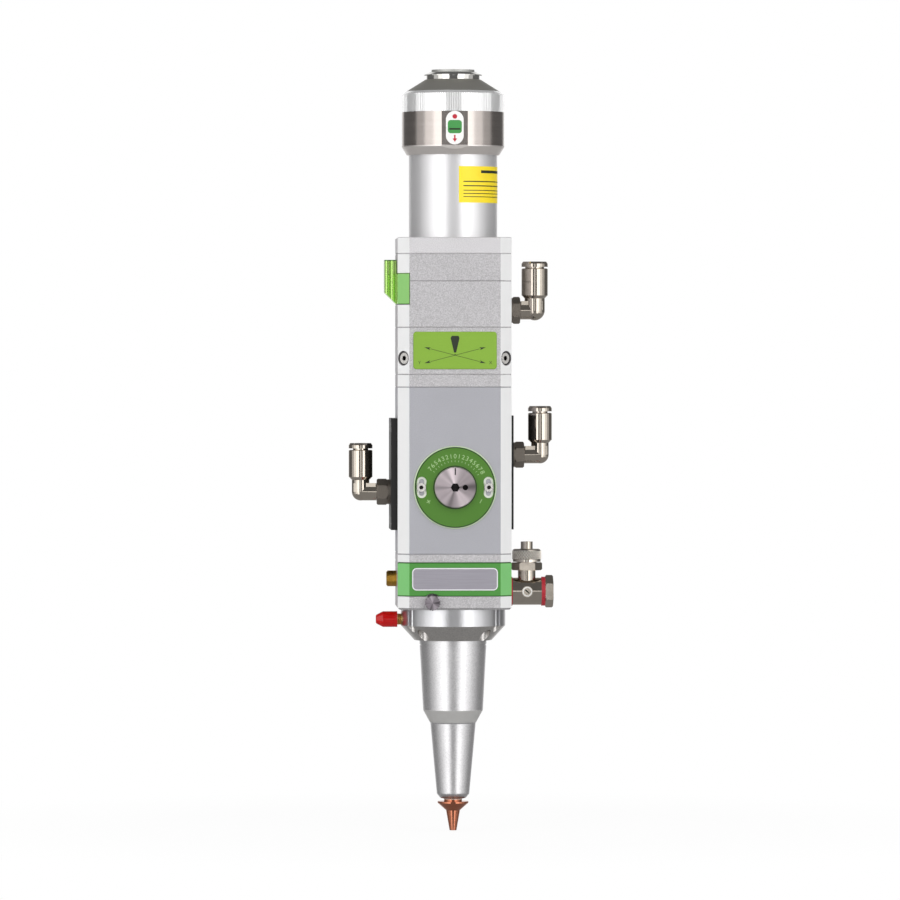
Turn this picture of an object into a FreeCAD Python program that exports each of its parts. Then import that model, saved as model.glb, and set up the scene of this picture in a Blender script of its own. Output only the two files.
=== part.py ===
import FreeCAD, Part
import math
import os
from types import SimpleNamespace

import Sketcher
from FreeCAD import Rotation, Vector

# Laser cutting head for flat sheets, in millimetres.
# Origin: centre of the four tapped holes in the back face, on that face.
# +Z runs up the beam to the fibre socket, +Y out of the back face, +X to the viewer's right.
# Each piece is drawn about the beam with z = 0 at the foot of its own module, and is then placed.

# Driving sizes, each written once
SIZES = {
    # Square body: width across flats, corner cut, edge break and clear bore
    "body_width": 60.0,
    "corner_cut": 5.8,
    "edge_break": 0.35,
    "beam_radius": 14.0,
    # Heights of the stacked modules, from the nozzle to the fibre socket
    "nozzle_height": 16.5,
    "insulator_proud": 0.5,
    "cone_height": 84.0,
    "flange_height": 16.8,
    "frame_height": 24.9,
    "adapter_height": 4.4,
    "focus_height": 87.9,
    "spacer_height": 6.7,
    "centring_height": 24.8,
    "collimator_height": 24.4,
    "window_height": 14.4,
    "foot_height": 8.6,
    "tube_height": 43.8,
    "ring_height": 22.7,
    "lock_height": 17.3,
    # Four tapped holes in the back, and their centre above the foot of the focus housing
    "bolt_height": 43.9,
    "rear_spacing_x": 36.0,
    "rear_spacing_z": 60.0,
    "rear_hole_radius": 2.5,
    "rear_hole_depth": 12.0,
    # Clearances: running fit, still fit and drawer play
    "running_gap": 0.05,
    "still_gap": 0.02,
    "drawer_gap": 0.3,
    # Lenses and windows share one diameter
    "optic_radius": 15.0,
    "optic_ledge": 1.2,
    "lens_thickness": 5.0,
    "lens_curve": 67.0,
    "window_thickness": 4.0,
    "retainer_height": 2.2,
    # Copper nozzle
    "orifice_radius": 0.75,
    "orifice_land": 1.2,
    "nozzle_tip_radius": 1.83,
    "nozzle_waist_radius": 3.7,
    "nozzle_waist_height": 10.6,
    "nozzle_rim_radius": 8.2,
    "nozzle_rim_height": 14.5,
    "nozzle_rim_thickness": 0.9,
    "nozzle_neck_radius": 4.8,
    "nozzle_neck_drop": 0.2,
    "nozzle_stem_radius": 3.6,
    "nozzle_stem_length": 5.0,
    "nozzle_throat_radius": 2.6,
    # Ceramic insulator in the tip of the nose cone
    "insulator_radius": 4.9,
    "insulator_shoulder_radius": 7.0,
    "insulator_shoulder_height": 4.0,
    "insulator_height": 9.5,
    # Nose cone
    "cone_tip_radius": 6.6,
    "cone_tip_round": 1.6,
    "cone_low_radius": 8.6,
    "cone_low_height": 2.4,
    "cone_mid_radius": 12.0,
    "cone_mid_height": 39.8,
    "cone_step_radius": 15.85,
    "cone_step_height": 46.9,
    "cone_top_radius": 17.8,
    "cone_wall": 2.6,
    "cone_step_wall": 4.2,
    "cone_line_depth": 0.5,
    "cone_line_height": 81.0,
    "cone_line_width": 0.8,
    "spigot_radius": 14.0,
    "spigot_height": 8.0,
    # Sensor flange above the cone
    "flange_radius": 27.7,
    "flange_low_radius": 20.5,
    "flange_cone_height": 7.8,
    "flute_radius": 2.5,
    "flute_depth": 3.3,
    "flute_angle": 57.0,
    "flange_screw_circle": 23.0,
    "flange_seat_height": 9.8,
    "flange_counterbore_radius": 3.0,
    # Socket screws of the flange
    "cap_head_radius": 2.75,
    "cap_head_height": 3.0,
    "cap_shank_radius": 1.5,
    "cap_key_flats": 2.5,
    "key_depth_share": 0.6,
    "flange_screw_length": 14.0,
    # Sensor connector and its red cap, on the left of the flange
    "connector_height": 11.0,
    "connector_radius": 2.9,
    "connector_reach": 8.3,
    "connector_root": 6.0,
    "connector_pin_radius": 0.5,
    "connector_pin_length": 4.0,
    "connector_core_radius": 2.0,
    "connector_core_depth": 5.0,
    "cap_radius": 4.2,
    "cap_start": 1.9,
    "cap_bore_depth": 7.0,
    "cap_length": 11.4,
    "cap_point_length": 3.8,
    "cap_point_radius": 2.2,
    "cap_point_round": 1.1,
    # Lower drawer frame and drawer
    "frame_foot_break": 1.05,
    "panel_depth": 6.0,
    "panel_base": 7.2,
    "tray_base": 10.6,
    "tray_height": 8.4,
    "tray_width": 44.0,
    "tray_back": 22.0,
    # Name plate, left bare
    "nameplate_width": 45.1,
    "nameplate_height": 11.8,
    "nameplate_round": 2.4,
    "nameplate_middle": 16.2,
    "plate_thickness": 0.8,
    "plate_pocket": 0.5,
    # Knurled locking screw below the drawer
    "thumb_x": -11.9,
    "thumb_height": 3.8,
    "thumb_radius": 4.0,
    "thumb_notch_radius": 4.9,
    "thumb_head_length": 4.5,
    "thumb_collar_radius": 3.0,
    "thumb_collar_length": 0.5,
    "thumb_shank_radius": 2.0,
    "thumb_shank_length": 11.0,
    "thumb_flutes": 18.0,
    "thumb_flute_radius": 0.36,
    # Brass vent plug on the left of the frame
    "vent_height": 15.8,
    "vent_radius": 4.2,
    "vent_length": 5.4,
    "vent_stem_radius": 2.5,
    "vent_stem_length": 5.0,
    "vent_break": 0.7,
    "vent_flats": 7.9,
    # Gas fitting on the right of the frame
    "gas_height": 8.9,
    "gas_stem_radius": 4.8,
    "gas_stem_length": 6.0,
    "gas_duct_radius": 1.5,
    "gas_duct_drop": 1.5,
    "washer_inner_thickness": 1.4,
    "washer_outer_thickness": 2.0,
    "washer_radius": 7.7,
    "banjo_radius": 7.3,
    "banjo_length": 15.4,
    "banjo_hex_flats": 14.9,
    "banjo_hex_length": 4.2,
    "banjo_neck_offset": 7.7,
    "banjo_neck_radius": 4.7,
    "banjo_hex_height": 11.2,
    "banjo_hex_thickness": 4.2,
    "banjo_upper_flats": 14.2,
    "banjo_boss_radius": 2.9,
    "banjo_boss_proud": 0.7,
    "gas_thread_radius": 5.4,
    "gas_thread_height": 20.2,
    "gas_shoulder_radius": 3.6,
    "gas_sleeve_radius": 3.2,
    "gas_sleeve_height": 26.4,
    "gas_bore_radius": 2.2,
    "gas_nut_radius": 7.45,
    "gas_nut_height": 6.9,
    "gas_nut_gap": 0.3,
    "gas_nut_round": 1.2,
    # Focus housing
    "barrel_radius": 18.0,
    "barrel_length": 40.0,
    "housing_ledge": 6.0,
    "dial_height": 35.2,
    "focus_travel": 8.0,
    # Rack and pinion of the focus drive
    "gear_module": 1.0,
    "gear_teeth": 15.0,
    "gear_width": 5.0,
    "gear_backlash": 0.16,
    "gear_front_gap": 0.6,
    "gear_rear_gap": 1.4,
    "gear_pocket_margin": 3.0,
    "rack_root_share": 1.25,
    "rack_tooth_share": 0.8,
    "pinion_root_share": 1.05,
    "rack_foot_depth": 8.6,
    "rack_half_length": 14.0,
    "rack_back": 4.0,
    "spindle_radius": 3.0,
    "bush_radius": 5.5,
    # Dial: green scale ring and silver knob
    "scale_radius": 21.8,
    "scale_thickness": 1.2,
    "scale_edge": 0.5,
    "scale_bore_radius": 4.2,
    "knob_radius": 10.75,
    "knob_thickness": 2.6,
    "knob_gap": 0.3,
    "knob_key_flats": 4.2,
    "knob_key_depth": 2.2,
    "knob_pin_radius": 1.45,
    "knob_pin_offset": 5.3,
    "knob_line_length": 4.2,
    "knob_line_width": 0.6,
    "knob_line_depth": 0.3,
    "slot_circle": 17.8,
    "slot_half_width": 2.5,
    "slot_inner_half_width": 1.4,
    "slot_step": 0.6,
    "slot_half_angle": 10.0,
    "scale_head_radius": 2.3,
    "scale_head_height": 1.5,
    "scale_shank_radius": 1.25,
    "scale_screw_length": 5.5,
    "scale_key_flats": 2.0,
    # Black side covers
    "cover_width": 44.0,
    "left_cover_height": 58.8,
    "left_cover_base": 12.6,
    "left_cover_thickness": 3.4,
    "right_cover_height": 60.0,
    "right_cover_base": 12.9,
    "right_cover_thickness": 1.2,
    "cover_screw_inset": 4.5,
    "cover_key_flats": 2.0,
    "cover_head_radius": 2.7,
    "cover_head_height": 1.2,
    "cover_screw_length": 7.0,
    # Centring module: cross slide, lens cell and their two screws
    "centring_floor": 4.0,
    "centring_cavity": 20.5,
    "centring_travel": 1.0,
    "centring_play": 0.2,
    "slide_radius": 19.0,
    "slide_floor": 2.5,
    "slide_height": 10.0,
    "cell_wall": 1.5,
    "cell_height": 16.0,
    "centring_screw_height": 8.5,
    "centring_counterbore_radius": 3.9,
    "centring_counterbore_depth": 4.6,
    "centring_head_radius": 2.9,
    "centring_head_length": 4.0,
    "centring_shank_radius": 2.0,
    "centring_key_flats": 2.5,
    "plunger_radius": 2.5,
    "plunger_length": 9.0,
    "plunger_tip_radius": 1.2,
    # Green plate on the centring module
    "badge_width": 43.9,
    "badge_height": 19.7,
    "badge_round": 1.6,
    "badge_middle": 12.6,
    # Upper drawer and its grip
    "upper_panel_base": 12.0,
    "upper_panel_height": 16.4,
    "upper_tray_base": 15.8,
    "upper_tray_height": 8.4,
    "grip_reach": 6.5,
    "grip_top": 23.7,
    "grip_half_width": 8.0,
    "grip_ridge_radius": 1.45,
    "grip_ridge_proud": 0.8,
    "grip_core": 1.0,
    # Push-in elbow fittings, upper one for a larger tube
    "port_stem_radius": 4.8,
    "port_stem_length": 8.0,
    "upper_port_height": 9.1,
    "middle_port_height": 52.0,
    "left_port_height": 32.4,
    "upper_hex_length": 5.5,
    "upper_hex_flats": 12.4,
    "upper_axis": 7.8,
    "upper_arm_radius": 4.9,
    "upper_neck_radius": 5.4,
    "upper_body_radius": 7.0,
    "upper_tube_radius": 4.0,
    "middle_hex_length": 6.4,
    "left_hex_length": 7.1,
    "port_collar_length": 1.5,
    "port_collar_radius": 6.6,
    "hex_break": 0.6,
    "small_hex_flats": 12.0,
    "small_axis": 8.5,
    "small_arm_radius": 4.65,
    "small_neck_radius": 4.7,
    "small_body_radius": 6.35,
    "small_tube_radius": 3.0,
    "tube_clearance": 0.1,
    "elbow_journal_radius": 3.4,
    "elbow_journal_length": 3.5,
    "elbow_duct_radius": 2.0,
    "elbow_neck_top": 7.9,
    "elbow_body_top": 22.2,
    "elbow_seat_height": 9.5,
    "elbow_block_share": 0.82,
    "collet_wall": 1.0,
    "collet_head_thickness": 2.8,
    "collet_edge_height": 1.7,
    "collet_edge_inset": 0.7,
    "collet_travel": 0.8,
    "collet_stem_length": 6.0,
    # Collimator tube and steel ring
    "tube_radius": 23.4,
    "tube_bore_radius": 16.0,
    "ring_radius": 27.1,
    "ring_low_radius": 24.5,
    "ring_chamfer_height": 4.2,
    "ring_bore_radius": 20.0,
    "ring_floor": 4.0,
    "ring_flat_half_width": 6.9,
    "ring_flat_base": 2.1,
    "plaque_width": 9.3,
    "plaque_height": 17.6,
    "plaque_base": 5.0,
    "plaque_thickness": 0.7,
    "plaque_round": 4.64,
    # Fibre socket, locking ring and collar
    "socket_bore_radius": 9.6,
    "socket_radius": 12.5,
    "socket_flange_height": 6.0,
    "socket_bore_depth": 36.0,
    "lock_radius": 27.0,
    "lock_grip_height": 9.6,
    "lock_edge": 1.5,
    "lock_shoulder_radius": 24.6,
    "lock_top_radius": 14.7,
    "lock_cavity_radius": 21.0,
    "lock_cavity_height": 8.5,
    "lock_flutes": 144.0,
    "lock_flute_depth": 0.35,
    "lock_flute_width": 0.9,
    "collar_radius": 14.2,
    "collar_height": 1.9,
    "collar_lip_radius": 15.5,
    "collar_lip_height": 0.5,
    "collar_cone_height": 1.4,
    "collar_cone_radius": 12.4,
    "collar_rim_radius": 11.35,
    "collar_rim_height": 1.3,
    "collar_gap": 0.1,
}


class Dim:
    """A length that carries its number and the sheet formula that gives it."""

    def __init__(self, number, formula):
        self.number = number
        self.formula = formula

    def _join(self, other, sign, swap=False):
        if not isinstance(other, Dim):
            other = Dim(float(other), repr(float(other)))
        first, second = (other, self) if swap else (self, other)
        number = {
            "+": lambda a, b: a + b,
            "-": lambda a, b: a - b,
            "*": lambda a, b: a * b,
            "/": lambda a, b: a / b,
        }[sign](first.number, second.number)
        return Dim(number, f"({first.formula} {sign} {second.formula})")

    def __add__(self, other):
        return self._join(other, "+")

    def __radd__(self, other):
        return self._join(other, "+", swap=True)

    def __sub__(self, other):
        return self._join(other, "-")

    def __rsub__(self, other):
        return self._join(other, "-", swap=True)

    def __mul__(self, other):
        return self._join(other, "*")

    def __rmul__(self, other):
        return self._join(other, "*", swap=True)

    def __truediv__(self, other):
        return self._join(other, "/")

    def __rtruediv__(self, other):
        return self._join(other, "/", swap=True)

    def __neg__(self):
        return 0.0 - self


def root(value):
    """Square root of a sheet value."""
    return Dim(math.sqrt(value.number), f"sqrt({value.formula})")


def sine(angle):
    """Sine of a sheet value in degrees."""
    return Dim(math.sin(math.radians(angle.number)), f"sin({angle.formula} * 1deg)")


def cosine(angle):
    """Cosine of a sheet value in degrees."""
    return Dim(math.cos(math.radians(angle.number)), f"cos({angle.formula} * 1deg)")


def number(value):
    """The plain number of a size or of a number."""
    return value.number if isinstance(value, Dim) else float(value)


doc = FreeCAD.newDocument("cutting_head")
sheet = doc.addObject("Spreadsheet::Sheet", "Sizes")
for row, (alias, value) in enumerate(SIZES.items(), start=1):
    sheet.set(f"A{row}", alias.replace("_", " "))
    sheet.set(f"B{row}", str(value))
    sheet.setAlias(f"B{row}", alias)
doc.recompute()
s = SimpleNamespace(**{alias: Dim(value, f"Sizes.{alias}") for alias, value in SIZES.items()})

HALF = math.sqrt(0.5)
HEX_CORNER = 1.0 / math.sqrt(3.0)
HALF_TURN = 180.0
TURNS = {
    "+Z": Rotation(),
    "-Z": Rotation(Vector(1, 0, 0), HALF_TURN),
    "+X": Rotation(Vector(0, 1, 0), 90),
    "-X": Rotation(Vector(0, 1, 0), -90),
    "+Y": Rotation(Vector(1, 0, 0), -90),
    "-Y": Rotation(Vector(1, 0, 0), 90),
}


def bind(thing, name, value):
    """Set one property, by a sheet formula where the value has one."""
    if isinstance(value, Dim):
        thing.setExpression(name, value.formula)
    else:
        thing.setExpression(name, repr(float(value)))


def put(thing, at, turn="+Z"):
    """Place an object's origin at a point, turned so that its +Z looks along a direction."""
    rotation = TURNS[turn] if isinstance(turn, str) else turn
    thing.Placement = FreeCAD.Placement(Vector(*[number(v) for v in at]), rotation)
    for axis, value in zip("xyz", at):
        if isinstance(value, Dim):
            thing.setExpression(f"Placement.Base.{axis}", value.formula)
    return thing


def rod(radius, length, at=(0, 0, 0), turn="+Z", sweep=None):
    """A cylinder that starts at a point; sweep leaves only a sector of it."""
    thing = doc.addObject("Part::Cylinder", "rod")
    bind(thing, "Radius", radius)
    bind(thing, "Height", length)
    if sweep is not None:
        bind(thing, "Angle", sweep)
    return put(thing, at, turn)


def hexagon(flats, length, at=(0, 0, 0), turn="+Z"):
    """A hexagonal bar of a width across flats."""
    thing = doc.addObject("Part::Prism", "hexagon")
    thing.Polygon = 6
    bind(thing, "Circumradius", flats * HEX_CORNER)
    bind(thing, "Height", length)
    return put(thing, at, turn)


def nut_bar(flats, length, corner_break, at=(0, 0, 0), turn="+Z"):
    """A hexagonal bar with its corners turned off at both ends, as on a nut."""
    corner = flats * HEX_CORNER
    turned_bar = turned([
        (0, 0), (corner - corner_break, 0), (corner, corner_break),
        (corner, length - corner_break), (corner - corner_break, length), (0, length),
    ])
    return put(common(hexagon(flats, length), turned_bar), at, turn)


def slab(x, y, z):
    """A box between two limits along each axis."""
    thing = doc.addObject("Part::Box", "slab")
    for name, (low, high) in zip(("Length", "Width", "Height"), (x, y, z)):
        bind(thing, name, high - low)
    return put(thing, (x[0], y[0], z[0]))


def ball(radius, at=(0, 0, 0)):
    """A sphere about a point."""
    thing = doc.addObject("Part::Sphere", "ball")
    bind(thing, "Radius", radius)
    return put(thing, at)


def join(*things):
    """One solid from several that overlap or touch."""
    thing = doc.addObject("Part::MultiFuse", "join")
    thing.Shapes = list(things)
    thing.Refine = True
    return thing


def cut(base, *tools):
    """The base without the tools."""
    thing = doc.addObject("Part::Cut", "cut")
    thing.Base = base
    thing.Tool = tools[0] if len(tools) == 1 else join(*tools)
    thing.Refine = True
    return thing


def common(base, tool):
    """What two solids share."""
    thing = doc.addObject("Part::Common", "common")
    thing.Base = base
    thing.Tool = tool
    return thing


def group(*things):
    """Separate solids that make one node."""
    thing = doc.addObject("Part::Compound", "group")
    thing.Links = list(things)
    return thing


def sketch_on(body, role, points):
    """A closed outline on one of the body's own planes, each corner held by two sizes."""
    sketch = body.newObject("Sketcher::SketchObject", "outline")
    plane = next(f for f in body.Origin.OriginFeatures if f.Role == role)
    sketch.AttachmentSupport = [(plane, "")]
    sketch.MapMode = "FlatFace"
    corners = [Vector(number(u), number(v), 0) for u, v in points]
    for start, end in zip(corners, corners[1:] + corners[:1]):
        sketch.addGeometry(Part.LineSegment(start, end), False)
    count = len(points)
    for i in range(count):
        sketch.addConstraint(Sketcher.Constraint("Coincident", i, 2, (i + 1) % count, 1))
    for i, (u, v) in enumerate(points):
        for kind, value, other_axis in (("DistanceX", u, -2), ("DistanceY", v, -1)):
            if abs(number(value)) < 1e-9:
                sketch.addConstraint(Sketcher.Constraint("PointOnObject", i, 1, other_axis))
                continue
            limit = Sketcher.Constraint(kind, -1, 1, i, 1, number(value))
            index = sketch.addConstraint(limit)
            if isinstance(value, Dim):
                sketch.setExpression(f"Constraints[{index}]", value.formula)
    sketch.Visibility = False
    return sketch


def turned(points):
    """A body turned about the beam from an outline of radius and height pairs."""
    body = doc.addObject("PartDesign::Body", "turned")
    sketch = sketch_on(body, "XZ_Plane", points)
    feature = body.newObject("PartDesign::Revolution", "revolution")
    feature.Profile = sketch
    feature.ReferenceAxis = (sketch, ["V_Axis"])
    feature.Angle = 2 * HALF_TURN
    body.Tip = feature
    return body


def extruded(role, points, length):
    """A body made by pushing an outline along its plane's normal."""
    body = doc.addObject("PartDesign::Body", "extruded")
    sketch = sketch_on(body, role, points)
    feature = body.newObject("PartDesign::Pad", "pad")
    feature.Profile = sketch
    bind(feature, "Length", length)
    body.Tip = feature
    return body


def dress(body, kind, size, chosen):
    """Fillet or chamfer the edges of a body's last feature that a test picks."""
    doc.recompute()
    base = body.Tip
    names = [f"Edge{i}" for i, edge in enumerate(base.Shape.Edges, start=1) if chosen(edge)]
    feature = body.newObject(f"PartDesign::{kind}", kind.lower())
    feature.Base = (base, names)
    bind(feature, "Radius" if kind == "Fillet" else "Size", size)
    body.Tip = feature
    return body


def level_edge(height):
    """A test for the edges that lie flat at one height."""
    def chosen(edge):
        box = edge.BoundBox
        return box.ZLength < 1e-6 and abs(box.ZMin - number(height)) < 1e-6
    return chosen


def parallel_to(direction):
    """A test for straight edges along one direction."""
    def chosen(edge):
        if not isinstance(edge.Curve, Part.Line):
            return False
        return abs(abs(edge.Curve.Direction.dot(direction)) - 1.0) < 1e-6
    return chosen


def module(height, foot_break=None):
    """A square block with cut corners and broken edges, one storey of the body."""
    half = s.body_width / 2
    flat = half - s.corner_cut
    outline = [
        (-flat, -half), (flat, -half), (half, -flat), (half, flat),
        (flat, half), (-flat, half), (-half, flat), (-half, -flat),
    ]
    body = extruded("XY_Plane", outline, height)
    dress(body, "Chamfer", s.edge_break, level_edge(height))
    return dress(body, "Chamfer", foot_break or s.edge_break, level_edge(0))


def bore(radius, low, high):
    """A round hole about the beam between two heights, run past any end that is open."""
    return rod(radius, high - low, (0, 0, low))


def rounded_plate(width, height, thickness, radius, edge=None):
    """A flat plate with round corners that stands on a face and looks along -Y."""
    outline = [
        (-(width / 2), -(height / 2)), (width / 2, -(height / 2)),
        (width / 2, height / 2), (-(width / 2), height / 2),
    ]
    body = extruded("XZ_Plane", outline, thickness)
    dress(body, "Fillet", radius, parallel_to(Vector(0, 1, 0)))
    if edge is not None:
        dress(body, "Chamfer", edge, lambda e: e.BoundBox.YMax < -number(thickness) + 1e-6)
    return body


def cap_screw(head, height, shank, length, flats, at, turn):
    """A socket cap screw: its seat is at a point and its shank runs along the turn's +Z."""
    body = turned([
        (0, -height), (head, -height), (head, 0), (shank, 0), (shank, length), (0, length),
    ])
    key = hexagon(flats, height * s.key_depth_share + PROUD, (0, 0, -height - PROUD))
    return put(cut(body, key), at, turn)


def lens(thickness, at):
    """A plano-convex disc, flat side down."""
    disc = rod(s.optic_radius, thickness, at)
    curve = ball(s.lens_curve, (0, 0, at[2] + thickness - s.lens_curve))
    return common(disc, curve)


pieces = {}


def piece(node, thing, at=(0, 0, 0), turn=None):
    """Name a finished piece and place it in the head's own frame."""
    thing.Label = node
    rotation = turn if turn is not None else thing.Placement.Rotation
    put(thing, at, rotation)
    pieces[node] = thing
    return thing


# Heights of the modules in the head's frame
PROUD = 1.0
HALF_BODY = s.body_width / 2
BEAM_Y = -HALF_BODY
FOCUS = -s.bolt_height
ADAPTER = FOCUS - s.adapter_height
FRAME = ADAPTER - s.frame_height
FLANGE = FRAME - s.flange_height
CONE = FLANGE - s.cone_height
INSULATOR = CONE - s.insulator_proud
TIP = INSULATOR - s.nozzle_height
SPACER = FOCUS + s.focus_height
CENTRING = SPACER + s.spacer_height
COLLIMATOR = CENTRING + s.centring_height
WINDOW = COLLIMATOR + s.collimator_height
FOOT = WINDOW + s.window_height
TUBE_TOP = FOOT + s.foot_height + s.tube_height
LOCK = TUBE_TOP + s.ring_height
OPTIC_BORE = s.optic_radius + s.running_gap
OPTIC_CLEAR = s.optic_radius - s.optic_ledge
SIDE_TURN = Rotation(Vector(0, 0, 1), HALF_TURN)


def on_beam(height):
    """A point on the beam at a height in the head's frame."""
    return (0, BEAM_Y, height)


# Nozzle: a copper tip with a stem that screws into the insulator
NOZZLE_TOP = s.nozzle_height + s.nozzle_stem_length
piece("nozzle", turned([
    (s.orifice_radius, 0),
    (s.nozzle_tip_radius, 0),
    (s.nozzle_waist_radius, s.nozzle_waist_height),
    (s.nozzle_rim_radius, s.nozzle_rim_height),
    (s.nozzle_rim_radius, s.nozzle_rim_height + s.nozzle_rim_thickness),
    (s.nozzle_neck_radius, s.nozzle_rim_height + s.nozzle_rim_thickness + s.nozzle_neck_drop),
    (s.nozzle_neck_radius, s.nozzle_height),
    (s.nozzle_stem_radius, s.nozzle_height),
    (s.nozzle_stem_radius, NOZZLE_TOP),
    (s.nozzle_throat_radius, NOZZLE_TOP),
    (s.orifice_radius, s.orifice_land),
]), on_beam(TIP))

# Insulator: a stepped ceramic bush, seated from above on a ledge in the cone
INSULATOR_BORE = s.nozzle_stem_radius + s.still_gap
piece("insulator", turned([
    (INSULATOR_BORE, 0),
    (s.insulator_radius, 0),
    (s.insulator_radius, s.insulator_shoulder_height),
    (s.insulator_shoulder_radius, s.insulator_shoulder_height),
    (s.insulator_shoulder_radius, s.insulator_height),
    (INSULATOR_BORE, s.insulator_height),
]), on_beam(INSULATOR))

# Nose cone: hollow, with a rounded tip, a waist and a spigot that enters the flange
LEDGE = s.insulator_shoulder_height - s.insulator_proud
SEAT_RADIUS = s.insulator_shoulder_radius + s.still_gap
nose = turned([
    (s.insulator_radius + s.still_gap, 0),
    (s.cone_tip_radius, 0),
    (s.cone_low_radius, s.cone_low_height),
    (s.cone_mid_radius, s.cone_mid_height),
    (s.cone_step_radius, s.cone_step_height),
    (s.cone_top_radius, s.cone_height),
    (s.spigot_radius, s.cone_height),
    (s.spigot_radius, s.cone_height + s.spigot_height),
    (s.spigot_radius - s.cone_wall, s.cone_height + s.spigot_height),
    (s.cone_step_radius - s.cone_step_wall, s.cone_step_height),
    (s.cone_mid_radius - s.cone_wall, s.cone_mid_height),
    (SEAT_RADIUS, LEDGE + s.insulator_height),
    (SEAT_RADIUS, LEDGE),
    (s.insulator_radius + s.still_gap, LEDGE),
])


def tip_edge(edge):
    """The outer rim of the cone's end face and the rim just above it."""
    box = edge.BoundBox
    wide = box.XLength / 2
    at_low_rim = abs(box.ZMin - number(s.cone_low_height)) < 1e-6
    at_end = abs(box.ZMin) < 1e-6 and abs(wide - number(s.cone_tip_radius)) < 1e-6
    return box.ZLength < 1e-6 and (at_low_rim or at_end)


dress(nose, "Fillet", s.cone_tip_round, tip_edge)
line_radius = s.cone_top_radius - s.cone_line_depth
line = cut(
    rod(s.cone_top_radius + PROUD, s.cone_line_width, (0, 0, s.cone_line_height)),
    rod(line_radius, s.cone_line_width, (0, 0, s.cone_line_height)),
)
piece("nose_cone", cut(nose, line), on_beam(CONE))

# Sensor flange: a ring with a 45 degree foot, four flutes and four counterbored screws
FLANGE_CORE = OPTIC_CLEAR - s.cone_wall
flange = turned([
    (s.spigot_radius + s.still_gap, 0),
    (s.flange_low_radius, 0),
    (s.flange_radius, s.flange_cone_height),
    (s.flange_radius, s.flange_height),
    (FLANGE_CORE, s.flange_height),
    (FLANGE_CORE, s.spigot_height + s.still_gap),
    (s.spigot_radius + s.still_gap, s.spigot_height + s.still_gap),
])
flute_circle = s.flange_radius - s.flute_depth + s.flute_radius
flange_tools = []
for sign_x in (-1, 1):
    for sign_y in (-1, 1):
        flute_at = (
            sign_x * flute_circle * sine(s.flute_angle),
            sign_y * flute_circle * cosine(s.flute_angle),
            -PROUD,
        )
        flange_tools.append(rod(s.flute_radius, s.flange_height + 2 * PROUD, flute_at))
        x = sign_x * s.flange_screw_circle * HALF
        y = sign_y * s.flange_screw_circle * HALF
        flange_tools.append(
            rod(s.flange_counterbore_radius, s.flange_seat_height + PROUD, (x, y, -PROUD)))
        hole = s.cap_shank_radius + s.still_gap
        flange_tools.append(rod(hole, s.flange_height + PROUD, (x, y, 0)))
connector_hole = rod(
    s.connector_radius + s.still_gap, s.connector_root + PROUD,
    (-s.flange_radius - PROUD, 0, s.connector_height), "+X")
piece("nose_flange", cut(flange, *flange_tools, connector_hole), on_beam(FLANGE))

# Flange screws: four socket screws with their heads downwards
flange_screws = [
    cap_screw(
        s.cap_head_radius, s.cap_head_height, s.cap_shank_radius, s.flange_screw_length,
        s.cap_key_flats,
        (sign_x * s.flange_screw_circle * HALF, sign_y * s.flange_screw_circle * HALF,
         s.flange_seat_height), "+Z")
    for sign_x in (-1, 1) for sign_y in (-1, 1)
]
piece("flange_screws", group(*flange_screws), on_beam(FLANGE))

# Sensor connector: a gold socket in the flange's left side, drawn along +Z outwards
connector_length = s.connector_root + s.connector_reach
connector = cut(
    rod(s.connector_radius, connector_length),
    cut(
        rod(s.connector_core_radius, s.connector_core_depth + PROUD,
            (0, 0, connector_length - s.connector_core_depth)),
        rod(s.connector_pin_radius, s.connector_pin_length,
            (0, 0, connector_length - s.connector_core_depth)),
    ),
)
connector_at = (-s.flange_radius + s.connector_root, BEAM_Y, FLANGE + s.connector_height)
piece("sensor_connector", connector, connector_at, TURNS["-X"])

# Red dust cap over the connector
cap_cone_start = s.cap_length - s.cap_point_length
cap = turned([
    (s.connector_radius + s.running_gap, 0),
    (s.cap_radius, 0),
    (s.cap_radius, cap_cone_start),
    (s.cap_point_radius, s.cap_length),
    (0, s.cap_length),
    (0, s.cap_bore_depth),
    (s.connector_radius + s.running_gap, s.cap_bore_depth),
])
dress(cap, "Fillet", s.cap_point_round, level_edge(s.cap_length))
cap_at = (-s.flange_radius - s.cap_start, BEAM_Y, FLANGE + s.connector_height)
piece("connector_cap", cap, cap_at, TURNS["-X"])

# Drawer frame: the storey that the lower window drawer slides into from the front
PANEL_BACK = -HALF_BODY + s.panel_depth
frame_block = module(s.frame_height, s.frame_foot_break)
PANEL_SEAT = PANEL_BACK + s.drawer_gap
SLOT_SIDE = s.tray_width / 2 + s.drawer_gap
frame_tools = [
    slab((-HALF_BODY - PROUD, HALF_BODY + PROUD), (-HALF_BODY - PROUD, PANEL_SEAT),
         (s.panel_base - s.drawer_gap / 2, s.frame_height + PROUD)),
    slab((-SLOT_SIDE, SLOT_SIDE), (PANEL_BACK - PROUD, s.tray_back + s.drawer_gap),
         (s.tray_base, s.tray_base + s.tray_height + s.drawer_gap)),
    bore(FLANGE_CORE, -PROUD, s.tray_base + PROUD),
    bore(OPTIC_CLEAR, s.tray_base, s.frame_height + PROUD),
    rod(s.thumb_shank_radius + s.running_gap, s.thumb_shank_length + PROUD,
        (s.thumb_x, -HALF_BODY - PROUD, s.thumb_height), "+Y"),
    rod(s.vent_stem_radius + s.still_gap, s.vent_stem_length + PROUD,
        (-HALF_BODY - PROUD, 0, s.vent_height), "+X"),
    rod(s.gas_stem_radius + s.still_gap, s.gas_stem_length + PROUD,
        (HALF_BODY + PROUD, 0, s.gas_height), "-X"),
    rod(s.gas_duct_radius, HALF_BODY,
        (0, 0, s.gas_height - s.gas_duct_drop), "+X"),
]
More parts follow.
